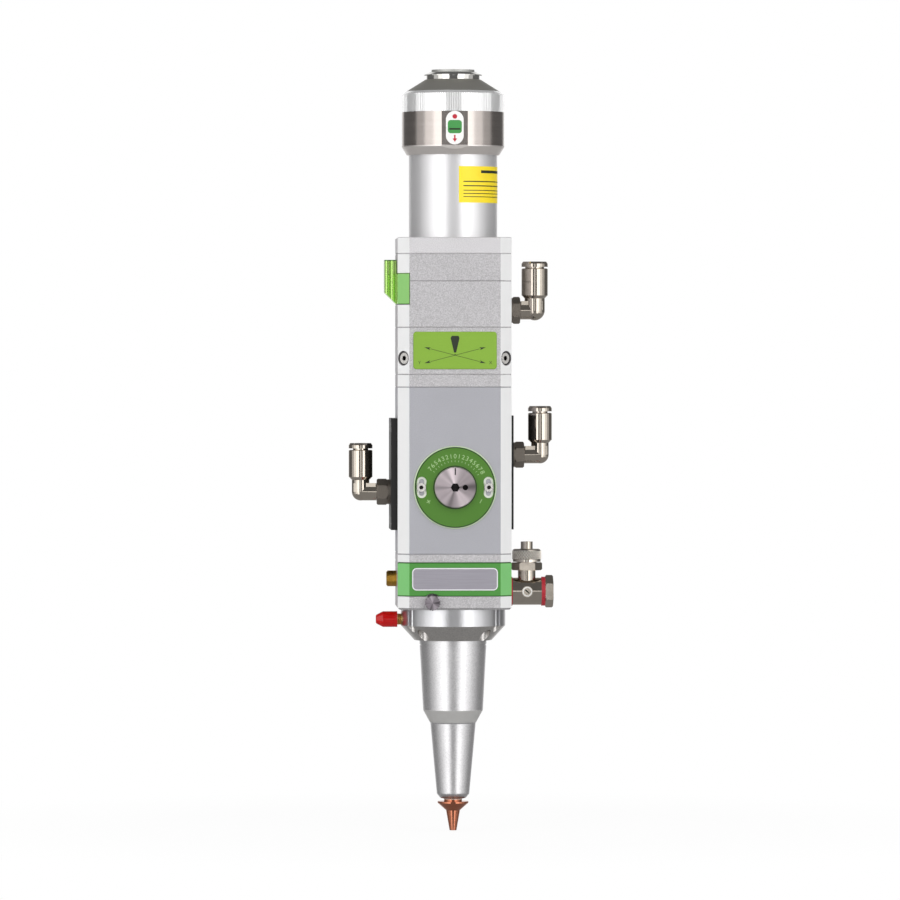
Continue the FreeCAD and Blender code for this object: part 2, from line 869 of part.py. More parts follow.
frame_screw_depth = s.flange_screw_length - s.flange_height + s.flange_seat_height
for sign_x in (-1, 1):
    for sign_y in (-1, 1):
        frame_tools.append(rod(
            s.cap_shank_radius + s.still_gap, frame_screw_depth + 2 * PROUD,
            (sign_x * s.flange_screw_circle * HALF, sign_y * s.flange_screw_circle * HALF,
             -PROUD)))
piece("drawer_frame", cut(frame_block, *frame_tools), on_beam(FRAME))

# Lower drawer: green front panel with its tray, notched round the locking screw
panel_block = common(
    module(s.frame_height),
    slab((-HALF_BODY, HALF_BODY), (-HALF_BODY, PANEL_BACK),
         (s.panel_base, s.frame_height)),
)
tray = slab((-(s.tray_width / 2), s.tray_width / 2), (PANEL_BACK - PROUD, s.tray_back),
            (s.tray_base, s.tray_base + s.tray_height))
WINDOW_SEAT = s.tray_height - s.window_thickness - s.retainer_height
name_pocket = put(
    rounded_plate(
        s.nameplate_width + s.still_gap * 2, s.nameplate_height + s.still_gap * 2,
        s.plate_pocket + PROUD, s.nameplate_round),
    (0, -HALF_BODY + s.plate_pocket, s.nameplate_middle))
lower_drawer = cut(
    join(panel_block, tray),
    name_pocket,
    rod(s.thumb_notch_radius, s.panel_depth + 2 * PROUD,
        (s.thumb_x, -HALF_BODY - PROUD, s.thumb_height), "+Y"),
    bore(OPTIC_CLEAR, s.tray_base - PROUD, s.tray_base + s.tray_height),
    bore(OPTIC_BORE, s.tray_base + WINDOW_SEAT, s.tray_base + s.tray_height + PROUD),
)
piece("lower_drawer", lower_drawer, on_beam(FRAME))
piece("lower_window", rod(s.optic_radius, s.window_thickness),
      on_beam(FRAME + s.tray_base + WINDOW_SEAT))


def retainer(height):
    """A thin ring that holds an optic down in its seat."""
    return cut(rod(s.optic_radius, height), bore(OPTIC_CLEAR, -PROUD, height + PROUD))


WINDOW_RING = WINDOW_SEAT + s.window_thickness
piece("lower_window_ring", retainer(s.retainer_height),
      on_beam(FRAME + s.tray_base + WINDOW_RING))

# Bare name plate in the panel's pocket
piece("nameplate", rounded_plate(
    s.nameplate_width, s.nameplate_height, s.plate_thickness, s.nameplate_round,
    s.edge_break), (0, BEAM_Y - HALF_BODY + s.plate_pocket, FRAME + s.nameplate_middle))

# Locking screw: fluted head, short collar and threaded shank
THUMB_BACK = s.thumb_collar_length
thumb = turned([
    (0, -s.thumb_shank_length),
    (s.thumb_shank_radius, -s.thumb_shank_length),
    (s.thumb_shank_radius, 0),
    (s.thumb_collar_radius, 0),
    (s.thumb_collar_radius, THUMB_BACK),
    (s.thumb_radius, THUMB_BACK),
    (s.thumb_radius, THUMB_BACK + s.thumb_head_length),
    (0, THUMB_BACK + s.thumb_head_length),
])
dress(thumb, "Chamfer", s.edge_break, level_edge(THUMB_BACK + s.thumb_head_length))
flute_count = int(number(s.thumb_flutes))
thumb_flutes = [
    rod(s.thumb_flute_radius, s.thumb_head_length,
        (s.thumb_radius * math.cos(turn), s.thumb_radius * math.sin(turn), THUMB_BACK))
    for turn in [2 * math.pi * i / flute_count for i in range(flute_count)]
]
piece("thumb_screw", cut(thumb, *thumb_flutes),
      (s.thumb_x, BEAM_Y - HALF_BODY, FRAME + s.thumb_height), TURNS["-Y"])

# Brass vent plug: round head with six narrow flats and a stem in the left wall
vent = turned([
    (0, -s.vent_stem_length),
    (s.vent_stem_radius, -s.vent_stem_length),
    (s.vent_stem_radius, 0),
    (s.vent_radius, 0),
    (s.vent_radius, s.vent_length),
    (0, s.vent_length),
])
dress(vent, "Chamfer", s.vent_break, level_edge(s.vent_length))
vent_faces = hexagon(s.vent_flats, s.vent_length + s.vent_stem_length + PROUD,
                     (0, 0, -s.vent_stem_length - PROUD / 2))
piece("vent_plug", common(vent, vent_faces),
      (-HALF_BODY, BEAM_Y, FRAME + s.vent_height), TURNS["-X"])

# Gas fitting: hollow bolt, red washers, banjo body, knurled nut; x counts from the side face
BANJO_START = s.washer_inner_thickness
BANJO_END = BANJO_START + s.banjo_length
BOLT_HEAD = BANJO_END + s.washer_outer_thickness
NECK_X = BANJO_START + s.banjo_neck_offset
GAS_AT = (HALF_BODY, BEAM_Y, FRAME + s.gas_height)
piece("banjo_bolt", cut(
    join(rod(s.gas_stem_radius, s.gas_stem_length + BOLT_HEAD, (-s.gas_stem_length, 0, 0), "+X"),
         nut_bar(s.banjo_hex_flats, s.banjo_hex_length, s.hex_break, (BOLT_HEAD, 0, 0), "+X")),
    rod(s.gas_bore_radius, s.gas_stem_length + NECK_X + s.gas_bore_radius + PROUD,
        (-s.gas_stem_length - PROUD, 0, 0), "+X"),
    rod(s.gas_duct_radius, s.gas_stem_radius * 2, (NECK_X, 0, 0)),
), GAS_AT)


def washer(thickness, x):
    """A flat sealing ring on the hollow bolt."""
    return cut(rod(s.washer_radius, thickness, (x, 0, 0), "+X"),
               rod(s.gas_stem_radius + s.still_gap, thickness + 2 * PROUD,
                   (x - PROUD, 0, 0), "+X"))


piece("banjo_washers", group(
    washer(s.washer_inner_thickness, 0), washer(s.washer_outer_thickness, BANJO_END)), GAS_AT)
NUT_BASE = s.banjo_hex_height + s.banjo_hex_thickness + s.gas_nut_gap
NUT_TOP = NUT_BASE + s.gas_nut_height
upper_gas = turned([
    (s.gas_bore_radius, 0),
    (s.banjo_neck_radius, 0),
    (s.banjo_neck_radius, s.banjo_hex_height),
    (s.gas_thread_radius, s.banjo_hex_height),
    (s.gas_thread_radius, s.gas_thread_height),
    (s.gas_shoulder_radius, s.gas_thread_height),
    (s.gas_shoulder_radius, NUT_TOP),
    (s.gas_sleeve_radius, NUT_TOP),
    (s.gas_sleeve_radius, s.gas_sleeve_height),
    (s.gas_bore_radius, s.gas_sleeve_height),
])
put(upper_gas, (NECK_X, 0, 0))
banjo = cut(
    join(
        rod(s.banjo_radius, s.banjo_length, (BANJO_START, 0, 0), "+X"),
        upper_gas,
        cut(nut_bar(s.banjo_upper_flats, s.banjo_hex_thickness, s.hex_break,
                    (NECK_X, 0, s.banjo_hex_height)),
            rod(s.banjo_neck_radius - PROUD, s.banjo_hex_thickness,
                (NECK_X, 0, s.banjo_hex_height))),
        rod(s.banjo_boss_radius, s.banjo_radius + s.banjo_boss_proud, (NECK_X, 0, 0), "-Y"),
    ),
    rod(s.gas_stem_radius + s.still_gap, s.banjo_length + 2 * PROUD,
        (BANJO_START - PROUD, 0, 0), "+X"),
    rod(s.gas_bore_radius, s.gas_sleeve_height, (NECK_X, 0, 0)),
)
piece("banjo_body", banjo, GAS_AT)
nut_wall = NUT_TOP - s.gas_thread_height - s.gas_nut_gap
nut = turned([
    (s.gas_thread_radius + s.running_gap, 0),
    (s.gas_nut_radius, 0),
    (s.gas_nut_radius, s.gas_nut_height),
    (s.gas_shoulder_radius + s.running_gap, s.gas_nut_height),
    (s.gas_shoulder_radius + s.running_gap, s.gas_nut_height - nut_wall),
    (s.gas_thread_radius + s.running_gap, s.gas_nut_height - nut_wall),
])


def nut_rim(edge):
    """The outer top rim of the gas nut."""
    wide = edge.BoundBox.XLength / 2
    return level_edge(s.gas_nut_height)(edge) and abs(wide - number(s.gas_nut_radius)) < 1e-6


dress(nut, "Fillet", s.gas_nut_round, nut_rim)
piece("gas_nut", nut,
      (HALF_BODY + NECK_X, BEAM_Y, FRAME + s.gas_height + NUT_BASE))

# Plain storeys: adapter and spacer plates
piece("lower_adapter", cut(module(s.adapter_height),
      bore(OPTIC_CLEAR, -PROUD, s.adapter_height + PROUD)), on_beam(ADAPTER))
piece("spacer_plate", cut(module(s.spacer_height),
      bore(s.beam_radius, -PROUD, s.spacer_height + PROUD)), on_beam(SPACER))

# Focus housing: bore for the lens barrel, gear pocket behind the front wall, ports and holes
PITCH_RADIUS = s.gear_module * s.gear_teeth / 2
GEAR_BACK = -(s.barrel_radius + s.gear_rear_gap)
GEAR_FRONT = GEAR_BACK - s.gear_width
FRONT_WALL = HALF_BODY + GEAR_FRONT - s.gear_front_gap
RACK_ROOT = PITCH_RADIUS + s.gear_module * s.rack_root_share
RACK_BACK = RACK_ROOT + s.rack_back
BARREL_BORE = s.barrel_radius + s.running_gap
POCKET_HALF = s.rack_half_length + s.focus_travel + PROUD
PORT_HOLE = s.port_stem_radius + s.still_gap
focus_tools = [
    bore(OPTIC_CLEAR, -PROUD, s.housing_ledge),
    bore(BARREL_BORE, s.housing_ledge, s.focus_height + PROUD),
    slab((-PITCH_RADIUS - s.gear_pocket_margin, RACK_BACK + PROUD),
         (-HALF_BODY + FRONT_WALL, 0),
         (s.dial_height - POCKET_HALF, s.dial_height + POCKET_HALF)),
    rod(s.bush_radius + s.still_gap, FRONT_WALL + 2 * PROUD,
        (0, -HALF_BODY - PROUD, s.dial_height), "+Y"),
    rod(PORT_HOLE, s.port_stem_length - s.left_cover_thickness + PROUD,
        (-HALF_BODY - PROUD, 0, s.left_port_height), "+X"),
    rod(PORT_HOLE, s.port_stem_length - s.right_cover_thickness + PROUD,
        (HALF_BODY + PROUD, 0, s.middle_port_height), "-X"),
]
for sign_x in (-1, 1):
    focus_tools.append(rod(
        s.scale_shank_radius + s.still_gap,
        s.scale_screw_length - s.scale_thickness + s.slot_step + PROUD,
        (sign_x * s.slot_circle, -HALF_BODY - PROUD, s.dial_height), "+Y"))
    for sign_z in (-1, 1):
        focus_tools.append(rod(
            s.rear_hole_radius, s.rear_hole_depth + PROUD,
            (sign_x * s.rear_spacing_x / 2, HALF_BODY + PROUD,
             s.bolt_height + sign_z * s.rear_spacing_z / 2), "-Y"))


def cover_holes(base, height):
    """Heights and places across of a side cover's four screws."""
    across = s.cover_width / 2 - s.cover_screw_inset
    low = base + s.cover_screw_inset
    high = base + height - s.cover_screw_inset
    return [(y, z) for y in (-across, across) for z in (low, high)]


LEFT_HOLES = cover_holes(s.left_cover_base, s.left_cover_height)
RIGHT_HOLES = cover_holes(s.right_cover_base, s.right_cover_height)
for holes, sign, toward, thickness in (
        (LEFT_HOLES, -1, "+X", s.left_cover_thickness),
        (RIGHT_HOLES, 1, "-X", s.right_cover_thickness)):
    depth = s.cover_screw_length + s.cover_head_height - thickness
    for y, z in holes:
        focus_tools.append(rod(
            s.cap_shank_radius + s.still_gap, depth + PROUD,
            (sign * (HALF_BODY + PROUD), y, z), toward))
piece("focus_housing", cut(module(s.focus_height), *focus_tools), on_beam(FOCUS))

# Side covers with their screws
covers = (
    ("left_cover", -1, LEFT_HOLES, s.left_cover_base, s.left_cover_height,
     s.left_cover_thickness, s.left_port_height),
    ("right_cover", 1, RIGHT_HOLES, s.right_cover_base, s.right_cover_height,
     s.right_cover_thickness, s.middle_port_height),
)
cover_screws = []
for node, sign, holes, base, height, thickness, port in covers:
    inner, outer = sign * HALF_BODY, sign * (HALF_BODY + thickness)
    span = (inner, outer) if sign > 0 else (outer, inner)
    plate = slab(span, (-(s.cover_width / 2), s.cover_width / 2), (base, base + height))
    toward = "+X" if sign < 0 else "-X"
    start = outer + sign * PROUD
    seat = outer - sign * s.cover_head_height
    tools = [rod(PORT_HOLE, thickness + 2 * PROUD, (start, 0, port), toward)]
    for y, z in holes:
        tools.append(rod(s.cover_head_radius + s.still_gap, s.cover_head_height + PROUD,
                         (start, y, z), toward))
        tools.append(rod(s.cap_shank_radius + s.still_gap, thickness + 2 * PROUD,
                         (start, y, z), toward))
        cover_screws.append(cap_screw(
            s.cover_head_radius, s.cover_head_height, s.cap_shank_radius,
            s.cover_screw_length - s.cover_head_height, s.cover_key_flats,
            (seat, y, z), toward))
    piece(node, cut(plate, *tools), on_beam(FOCUS))
piece("cover_screws", group(*cover_screws), on_beam(FOCUS))

# Focus barrel: the sliding tube that carries the focusing lens
BARREL_FOOT = s.dial_height - s.barrel_length / 2
LENS_SEAT = s.barrel_length / 2 - s.lens_thickness / 2
LENS_RING = LENS_SEAT + s.lens_thickness
barrel_bore = bore(OPTIC_BORE, LENS_SEAT, s.barrel_length + PROUD)
piece("focus_barrel", cut(
    rod(s.barrel_radius, s.barrel_length),
    bore(OPTIC_CLEAR, -PROUD, LENS_SEAT + PROUD), barrel_bore,
), on_beam(FOCUS + BARREL_FOOT))
piece("focus_lens", lens(s.lens_thickness, (0, 0, 0)),
      on_beam(FOCUS + BARREL_FOOT + LENS_SEAT))
piece("focus_lens_ring", retainer(s.retainer_height), on_beam(FOCUS + BARREL_FOOT + LENS_RING))

# Pinion: true involute flanks, thinned by the backlash, on the knob's spindle
PRESSURE = math.radians(20)
FLANK_STEPS = 4


def involute_point(base_radius, radius, offset):
    """A point of an involute that starts at an angle on its base circle."""
    roll = math.sqrt(max((radius / base_radius) ** 2 - 1, 0))
    turn = offset + roll - math.atan(roll)
    return Vector(radius * math.cos(turn), radius * math.sin(turn), 0)


def pinion_shape():
    """The gear's solid about +Z, with a tooth gap centred on +X so that a rack tooth fits."""
    size, teeth = s.gear_module.number, int(round(s.gear_teeth.number))
    pitch = size * teeth / 2
    base = pitch * math.cos(PRESSURE)
    top = pitch + size
    foot = pitch - s.pinion_root_share.number * size
    half_tooth = (math.pi * size / 2 - s.gear_backlash.number) / (2 * pitch)
    flank_start = -(half_tooth + math.tan(PRESSURE) - PRESSURE)
    radii = [base + (top - base) * i / FLANK_STEPS for i in range(FLANK_STEPS + 1)]
    edges = []
    last = None
    first = None
    for tooth in range(teeth):
        middle = Rotation(Vector(0, 0, 1), 2 * HALF_TURN * (tooth + 0.5) / teeth)
        rising = [involute_point(base, radius, flank_start) for radius in radii]
        rising.insert(0, rising[0] * (foot / base))
        falling = [Vector(p.x, -p.y, 0) for p in reversed(rising)]
        for point in [middle.multVec(p) for p in rising + falling]:
            if last is not None:
                edges.append(Part.makeLine(last, point))
            else:
                first = point
            last = point
    edges.append(Part.makeLine(last, first))
    face = Part.Face(Part.Wire(edges))
    solid = face.extrude(Vector(0, 0, s.gear_width.number))
    hole = Part.makeCylinder((s.spindle_radius + s.still_gap).number, s.gear_width.number)
    return solid.cut(hole)


pinion = doc.addObject("Part::Feature", "pinion")
pinion.Shape = pinion_shape()
piece("focus_pinion", pinion, (0, BEAM_Y + GEAR_BACK, FOCUS + s.dial_height), TURNS["-Y"])


def rack_shape():
    """The rack: straight teeth towards the pinion and a foot that hugs the barrel."""
    size = s.gear_module.number
    pitch_line, half = PITCH_RADIUS.number, s.rack_half_length.number
    tooth_top, tooth_root = pitch_line - s.rack_tooth_share.number * size, RACK_ROOT.number
    slope = math.tan(PRESSURE)
    half_thick = (math.pi * size / 2 - s.gear_backlash.number) / 2
    step = math.pi * size
    count = int((half - half_thick - size) // step)
    points = [Vector(RACK_BACK.number, 0, -half), Vector(tooth_root, 0, -half)]
    for index in range(-count, count + 1):
        middle = index * step
        wide = half_thick + slope * (tooth_root - pitch_line)
        narrow = half_thick - slope * (pitch_line - tooth_top)
        points += [
            Vector(tooth_root, 0, middle - wide), Vector(tooth_top, 0, middle - narrow),
            Vector(tooth_top, 0, middle + narrow), Vector(tooth_root, 0, middle + wide),
        ]
    points += [Vector(tooth_root, 0, half), Vector(RACK_BACK.number, 0, half)]
    outline = Part.Face(Part.makePolygon(points + points[:1]))
    outline.translate(Vector(0, GEAR_FRONT.number, 0))
    bar = outline.extrude(Vector(0, s.gear_width.number, 0))
    foot = Part.makeBox(
        RACK_BACK.number - tooth_root, s.rack_foot_depth.number, 2 * half,
        Vector(tooth_root, GEAR_BACK.number, -half))
    tube = Part.makeCylinder(s.barrel_radius.number, 2 * half, Vector(0, 0, -half))
    return bar.fuse(foot).cut(tube).removeSplitter()


rack = doc.addObject("Part::Feature", "rack")
rack.Shape = rack_shape()
piece("focus_rack", rack, on_beam(FOCUS + s.dial_height))

# Bush, knob with spindle, scale ring and its two screws; z counts forwards from the front face
DIAL_AT = (0, BEAM_Y - HALF_BODY, FOCUS + s.dial_height)
piece("focus_bush", cut(
    rod(s.bush_radius, FRONT_WALL, (0, 0, -FRONT_WALL)),
    rod(s.spindle_radius + s.running_gap, FRONT_WALL + 2 * PROUD,
        (0, 0, -FRONT_WALL - PROUD))), DIAL_AT, TURNS["-Y"])
KNOB_BACK = s.scale_thickness + s.knob_gap
KNOB_FRONT = KNOB_BACK + s.knob_thickness
SPINDLE_END = -(FRONT_WALL + s.gear_front_gap + s.gear_width)
knob = turned([
    (0, SPINDLE_END),
    (s.spindle_radius, SPINDLE_END),
    (s.spindle_radius, KNOB_BACK),
    (s.knob_radius, KNOB_BACK),
    (s.knob_radius, KNOB_FRONT),
    (0, KNOB_FRONT),
])
dress(knob, "Chamfer", s.edge_break, level_edge(KNOB_FRONT))
knob_cuts = [
    hexagon(s.knob_key_flats, s.knob_key_depth + PROUD, (0, 0, KNOB_FRONT - s.knob_key_depth)),
    rod(s.knob_pin_radius, s.knob_key_depth + PROUD,
        (s.knob_pin_offset, 0, KNOB_FRONT - s.knob_key_depth)),
    slab((-(s.knob_line_width / 2), s.knob_line_width / 2),
         (s.knob_radius - s.knob_line_length, s.knob_radius + PROUD),
         (KNOB_FRONT - s.knob_line_depth, KNOB_FRONT + PROUD)),
]
piece("focus_knob", cut(knob, *knob_cuts), DIAL_AT, TURNS["-Y"])


def arc_slot(half_width, low, high, side):
    """A curved slot about the dial's centre, with round ends, on one side."""
    centre = 0 if side > 0 else HALF_TURN
    start = Rotation(Vector(0, 0, 1), centre - s.slot_half_angle.number)
    depth = high - low
    outer = rod(s.slot_circle + half_width, depth, (0, 0, low), start, 2 * s.slot_half_angle)
    inner = rod(s.slot_circle - half_width, depth, (0, 0, low), start, 2 * s.slot_half_angle)
    ends = [
        rod(half_width, depth,
            (side * s.slot_circle * cosine(s.slot_half_angle),
             end * s.slot_circle * sine(s.slot_half_angle), low))
        for end in (-1, 1)
    ]
    return join(cut(outer, inner), *ends)


scale = turned([
    (s.scale_bore_radius, 0),
    (s.scale_radius, 0),
    (s.scale_radius, s.scale_thickness),
    (s.scale_bore_radius, s.scale_thickness),
])


def scale_rim(edge):
    """The outer front rim of the scale ring."""
    wide = edge.BoundBox.XLength / 2
    return level_edge(s.scale_thickness)(edge) and abs(wide - number(s.scale_radius)) < 1e-6


dress(scale, "Chamfer", s.scale_edge, scale_rim)
slots = []
for side in (-1, 1):
    slots.append(arc_slot(s.slot_inner_half_width, -PROUD, s.scale_thickness, side))
    slots.append(arc_slot(s.slot_half_width, s.slot_step, s.scale_thickness + PROUD, side))
piece("scale_ring", cut(scale, *slots), DIAL_AT, TURNS["-Y"])
scale_screws = [
    cap_screw(
        s.scale_head_radius, s.scale_head_height, s.scale_shank_radius, s.scale_screw_length,
        s.scale_key_flats, (side * s.slot_circle, 0, s.slot_step), "-Z")
    for side in (-1, 1)
]
piece("scale_screws", group(*scale_screws), DIAL_AT, TURNS["-Y"])

# Centring module: cavity, two counterbored screws at the front corners, plungers behind
CORNER = (HALF_BODY * 2 - s.corner_cut) * HALF
CENTRING_SEAT = CORNER - s.centring_counterbore_depth
SLIDE_BACKOFF = s.centring_travel + s.centring_play
centring_tools = [
    bore(s.beam_radius, -PROUD, s.centring_floor + PROUD),
    bore(s.centring_cavity, s.centring_floor, s.centring_height + PROUD),
]


def corner_turn(degrees):
    """A rotation that takes +Z to a level direction at an angle from +X."""
    turn = math.radians(degrees)
    return Rotation(Vector(0, 0, 1), Vector(math.cos(turn), math.sin(turn), 0))


def corner_point(distance, degrees, height):
    """A point at a distance from the beam along a corner direction."""
    turn = math.radians(degrees)
    return (distance * math.cos(turn), distance * math.sin(turn), height)


FRONT_LEFT, FRONT_RIGHT, BACK_RIGHT, BACK_LEFT = 225, 315, 45, 135
for degrees in (FRONT_LEFT, FRONT_RIGHT):
    centring_tools.append(rod(
        s.centring_counterbore_radius, s.centring_counterbore_depth + PROUD,
        corner_point(CENTRING_SEAT, degrees, s.centring_screw_height), corner_turn(degrees)))
    centring_tools.append(rod(
        s.centring_shank_radius + s.running_gap, CENTRING_SEAT - s.slide_radius + PROUD,
        corner_point(s.slide_radius, degrees, s.centring_screw_height), corner_turn(degrees)))
for degrees in (BACK_RIGHT, BACK_LEFT):
    centring_tools.append(rod(
        s.plunger_radius + s.still_gap, CORNER,
        corner_point(s.slide_radius, degrees, s.centring_screw_height), corner_turn(degrees)))
piece("centring_housing", cut(module(s.centring_height), *centring_tools), on_beam(CENTRING))

# Cross slide: a disc with a channel along the front-right diagonal
CELL_RADIUS = s.optic_radius + s.cell_wall
CHANNEL_HALF = CELL_RADIUS + s.running_gap
ALONG_RIGHT = Rotation(Vector(0, 0, 1), -45)
channel = slab((-s.slide_radius - PROUD, s.slide_radius + PROUD), (-CHANNEL_HALF, CHANNEL_HALF),
               (s.slide_floor, s.slide_height + PROUD))
slide = cut(rod(s.slide_radius, s.slide_height), channel,
            bore(s.beam_radius - s.cell_wall, -PROUD, s.slide_height))
piece("centring_slide", slide, on_beam(CENTRING + s.centring_floor), ALONG_RIGHT)

# Lens cell: the collimating lens on a ledge, held by a ring
CELL_AT = CENTRING + s.centring_floor + s.slide_floor
CELL_SEAT = s.cell_height - s.lens_thickness - s.retainer_height
piece("centring_cell", cut(
    rod(CELL_RADIUS, s.cell_height),
    bore(s.beam_radius - s.cell_wall, -PROUD, s.cell_height),
    bore(OPTIC_BORE, CELL_SEAT, s.cell_height + PROUD),
), on_beam(CELL_AT))
piece("collimating_lens", lens(s.lens_thickness, (0, 0, 0)), on_beam(CELL_AT + CELL_SEAT))
piece("collimating_lens_ring", retainer(s.retainer_height),
      on_beam(CELL_AT + CELL_SEAT + s.lens_thickness))

# Centring screws: one for the slide on the left, one for the cell on the right
for node, degrees, reach in (
        ("centring_screw_left", FRONT_LEFT, s.slide_radius),
        ("centring_screw_right", FRONT_RIGHT, CELL_RADIUS)):
    length = CENTRING_SEAT - reach - SLIDE_BACKOFF
    screw = cap_screw(
        s.centring_head_radius, s.centring_head_length, s.centring_shank_radius, length,
        s.centring_key_flats, (0, 0, 0), "+Z")
    x, y, z = corner_point(CENTRING_SEAT, degrees, s.centring_screw_height)
    piece(node, screw, (x, BEAM_Y + y, CENTRING + z), corner_turn(degrees + HALF_TURN))

# Spring plungers: threaded bodies with a small pin each, opposite the screws
plungers = []
for degrees, reach in ((BACK_RIGHT, s.slide_radius), (BACK_LEFT, CELL_RADIUS)):
    tip = reach + SLIDE_BACKOFF
    start = s.centring_cavity + s.centring_play
    body = join(
        rod(s.plunger_radius, s.plunger_length,
            corner_point(start, degrees, s.centring_screw_height), corner_turn(degrees)),
        rod(s.plunger_tip_radius, start - tip + PROUD,
            corner_point(tip, degrees, s.centring_screw_height), corner_turn(degrees)))
    plungers.append(body)
piece("centring_plungers", group(*plungers), on_beam(CENTRING))

# Green plate on the front of the centring module
piece("centring_badge", rounded_plate(
    s.badge_width, s.badge_height, s.plate_thickness, s.badge_round, s.edge_break),
    (0, BEAM_Y - HALF_BODY, CENTRING + s.badge_middle))

# Collimator and window housings: the upper drawer enters between them from the left
UPPER_PANEL_TOP = s.upper_panel_base + s.upper_panel_height
UPPER_SEAT = -HALF_BODY + s.panel_depth + s.drawer_gap
NOTCH_SPAN = (-HALF_BODY - PROUD, UPPER_SEAT)
FULL_DEPTH = (-HALF_BODY - PROUD, HALF_BODY + PROUD)
piece("collimator_housing", cut(
    module(s.collimator_height),
    slab(NOTCH_SPAN, FULL_DEPTH,
         (s.upper_panel_base - s.drawer_gap / 2, s.collimator_height + PROUD)),
    slab((-HALF_BODY, s.tray_back + s.drawer_gap), (-SLOT_SIDE, SLOT_SIDE),
         (s.upper_tray_base, s.collimator_height + PROUD)),
    bore(s.beam_radius, -PROUD, s.upper_tray_base + PROUD),
    rod(PORT_HOLE, s.port_stem_length + PROUD,
        (HALF_BODY + PROUD, 0, s.upper_port_height), "-X"),
), on_beam(COLLIMATOR))
panel_rise = UPPER_PANEL_TOP - s.collimator_height
piece("window_housing", cut(
    module(s.window_height),
    slab(NOTCH_SPAN, FULL_DEPTH, (-PROUD, panel_rise + s.drawer_gap / 2)),
    bore(s.beam_radius, -PROUD, s.window_height + PROUD),
), on_beam(WINDOW))

# Upper drawer: side panel, tray and a ridged grip with a 45 degree foot
upper_panel = common(
    put(module(s.upper_panel_height), (0, 0, s.upper_panel_base)),
    slab((-HALF_BODY, -HALF_BODY + s.panel_depth), (-HALF_BODY, HALF_BODY),
         (s.upper_panel_base, UPPER_PANEL_TOP)),
)
upper_tray = slab((-HALF_BODY + s.panel_depth - PROUD, s.tray_back),
                  (-(s.tray_width / 2), s.tray_width / 2),
                  (s.upper_tray_base, s.upper_tray_base + s.upper_tray_height))
GRIP_END = -HALF_BODY - s.grip_reach
GRIP_TOP = s.upper_panel_base + s.grip_top
GRIP_WIDTH = (-s.grip_half_width, s.grip_half_width)
grip_core = slab((GRIP_END + s.grip_core, -HALF_BODY - s.drawer_gap),
                 GRIP_WIDTH, (s.upper_panel_base, GRIP_TOP))
grip_root = slab((-HALF_BODY - s.drawer_gap, -HALF_BODY + PROUD),
                 GRIP_WIDTH, (s.upper_panel_base, UPPER_PANEL_TOP))
grip_face = s.grip_half_width + s.grip_ridge_proud - s.grip_ridge_radius
ridge_step = s.grip_ridge_radius * 2
ridges = [
    rod(s.grip_ridge_radius, s.grip_top,
        (GRIP_END + s.grip_ridge_radius + index * ridge_step, side * grip_face,
         s.upper_panel_base))
    for side in (-1, 1) for index in (0, 1)
]
grip_nose = slab((GRIP_END, GRIP_END + s.grip_core + PROUD), (-grip_face, grip_face),
                 (s.upper_panel_base, GRIP_TOP))
grip_foot = extruded("XZ_Plane", [
    (-HALF_BODY, s.upper_panel_base),
    (GRIP_END - PROUD, s.upper_panel_base + s.grip_reach + PROUD),
    (GRIP_END - PROUD, s.upper_panel_base - PROUD),
    (-HALF_BODY, s.upper_panel_base - PROUD),
], s.body_width)
put(grip_foot, (0, HALF_BODY, 0))
grip = cut(join(grip_core, grip_root, grip_nose, *ridges), grip_foot)
UPPER_SEAT_HEIGHT = s.upper_tray_height - s.window_thickness - s.retainer_height
upper_drawer = cut(
    join(upper_panel, upper_tray, grip),
    bore(OPTIC_CLEAR, s.upper_tray_base - PROUD, s.upper_tray_base + s.upper_tray_height),
    bore(OPTIC_BORE, s.upper_tray_base + UPPER_SEAT_HEIGHT,
         s.upper_tray_base + s.upper_tray_height + PROUD),
)
piece("upper_drawer", upper_drawer, on_beam(COLLIMATOR))
UPPER_OPTIC = COLLIMATOR + s.upper_tray_base + UPPER_SEAT_HEIGHT
piece("upper_window", rod(s.optic_radius, s.window_thickness), on_beam(UPPER_OPTIC))
piece("upper_window_ring", retainer(s.retainer_height),
      on_beam(UPPER_OPTIC + s.window_thickness))

# Elbow fittings: fixed studs, swivelling elbows and sprung release collets
fittings = (
    ("upper", 1, 0, COLLIMATOR + s.upper_port_height, s.upper_hex_length,
     s.upper_hex_flats, s.upper_axis, s.upper_arm_radius, s.upper_neck_radius,
     s.upper_body_radius, s.upper_tube_radius),
    ("middle", 1, s.right_cover_thickness, FOCUS + s.middle_port_height, s.middle_hex_length,
     s.small_hex_flats, s.small_axis, s.small_arm_radius, s.small_neck_radius,
     s.small_body_radius, s.small_tube_radius),
    ("left", -1, s.left_cover_thickness, FOCUS + s.left_port_height, s.left_hex_length,
     s.small_hex_flats, s.small_axis, s.small_arm_radius, s.small_neck_radius,
     s.small_body_radius, s.small_tube_radius),
)


def stud(hex_length, flats, stem_length):
    """A hexagon with a threaded stem and a journal socket for the elbow, along +X."""
    socket = s.elbow_journal_radius + s.running_gap
    return cut(
        join(rod(s.port_stem_radius, stem_length + PROUD, (-stem_length, 0, 0), "+X"),
             rod(s.port_collar_radius, s.port_collar_length, (0, 0, 0), "+X"),
             nut_bar(flats, hex_length - s.port_collar_length, s.hex_break,
                     (s.port_collar_length, 0, 0), "+X")),
        rod(socket, s.elbow_journal_length + PROUD,
            (hex_length - s.elbow_journal_length - s.running_gap, 0, 0), "+X"),
        rod(s.elbow_duct_radius, stem_length + hex_length + 2 * PROUD,
            (-stem_length - PROUD, 0, 0), "+X"),
    )


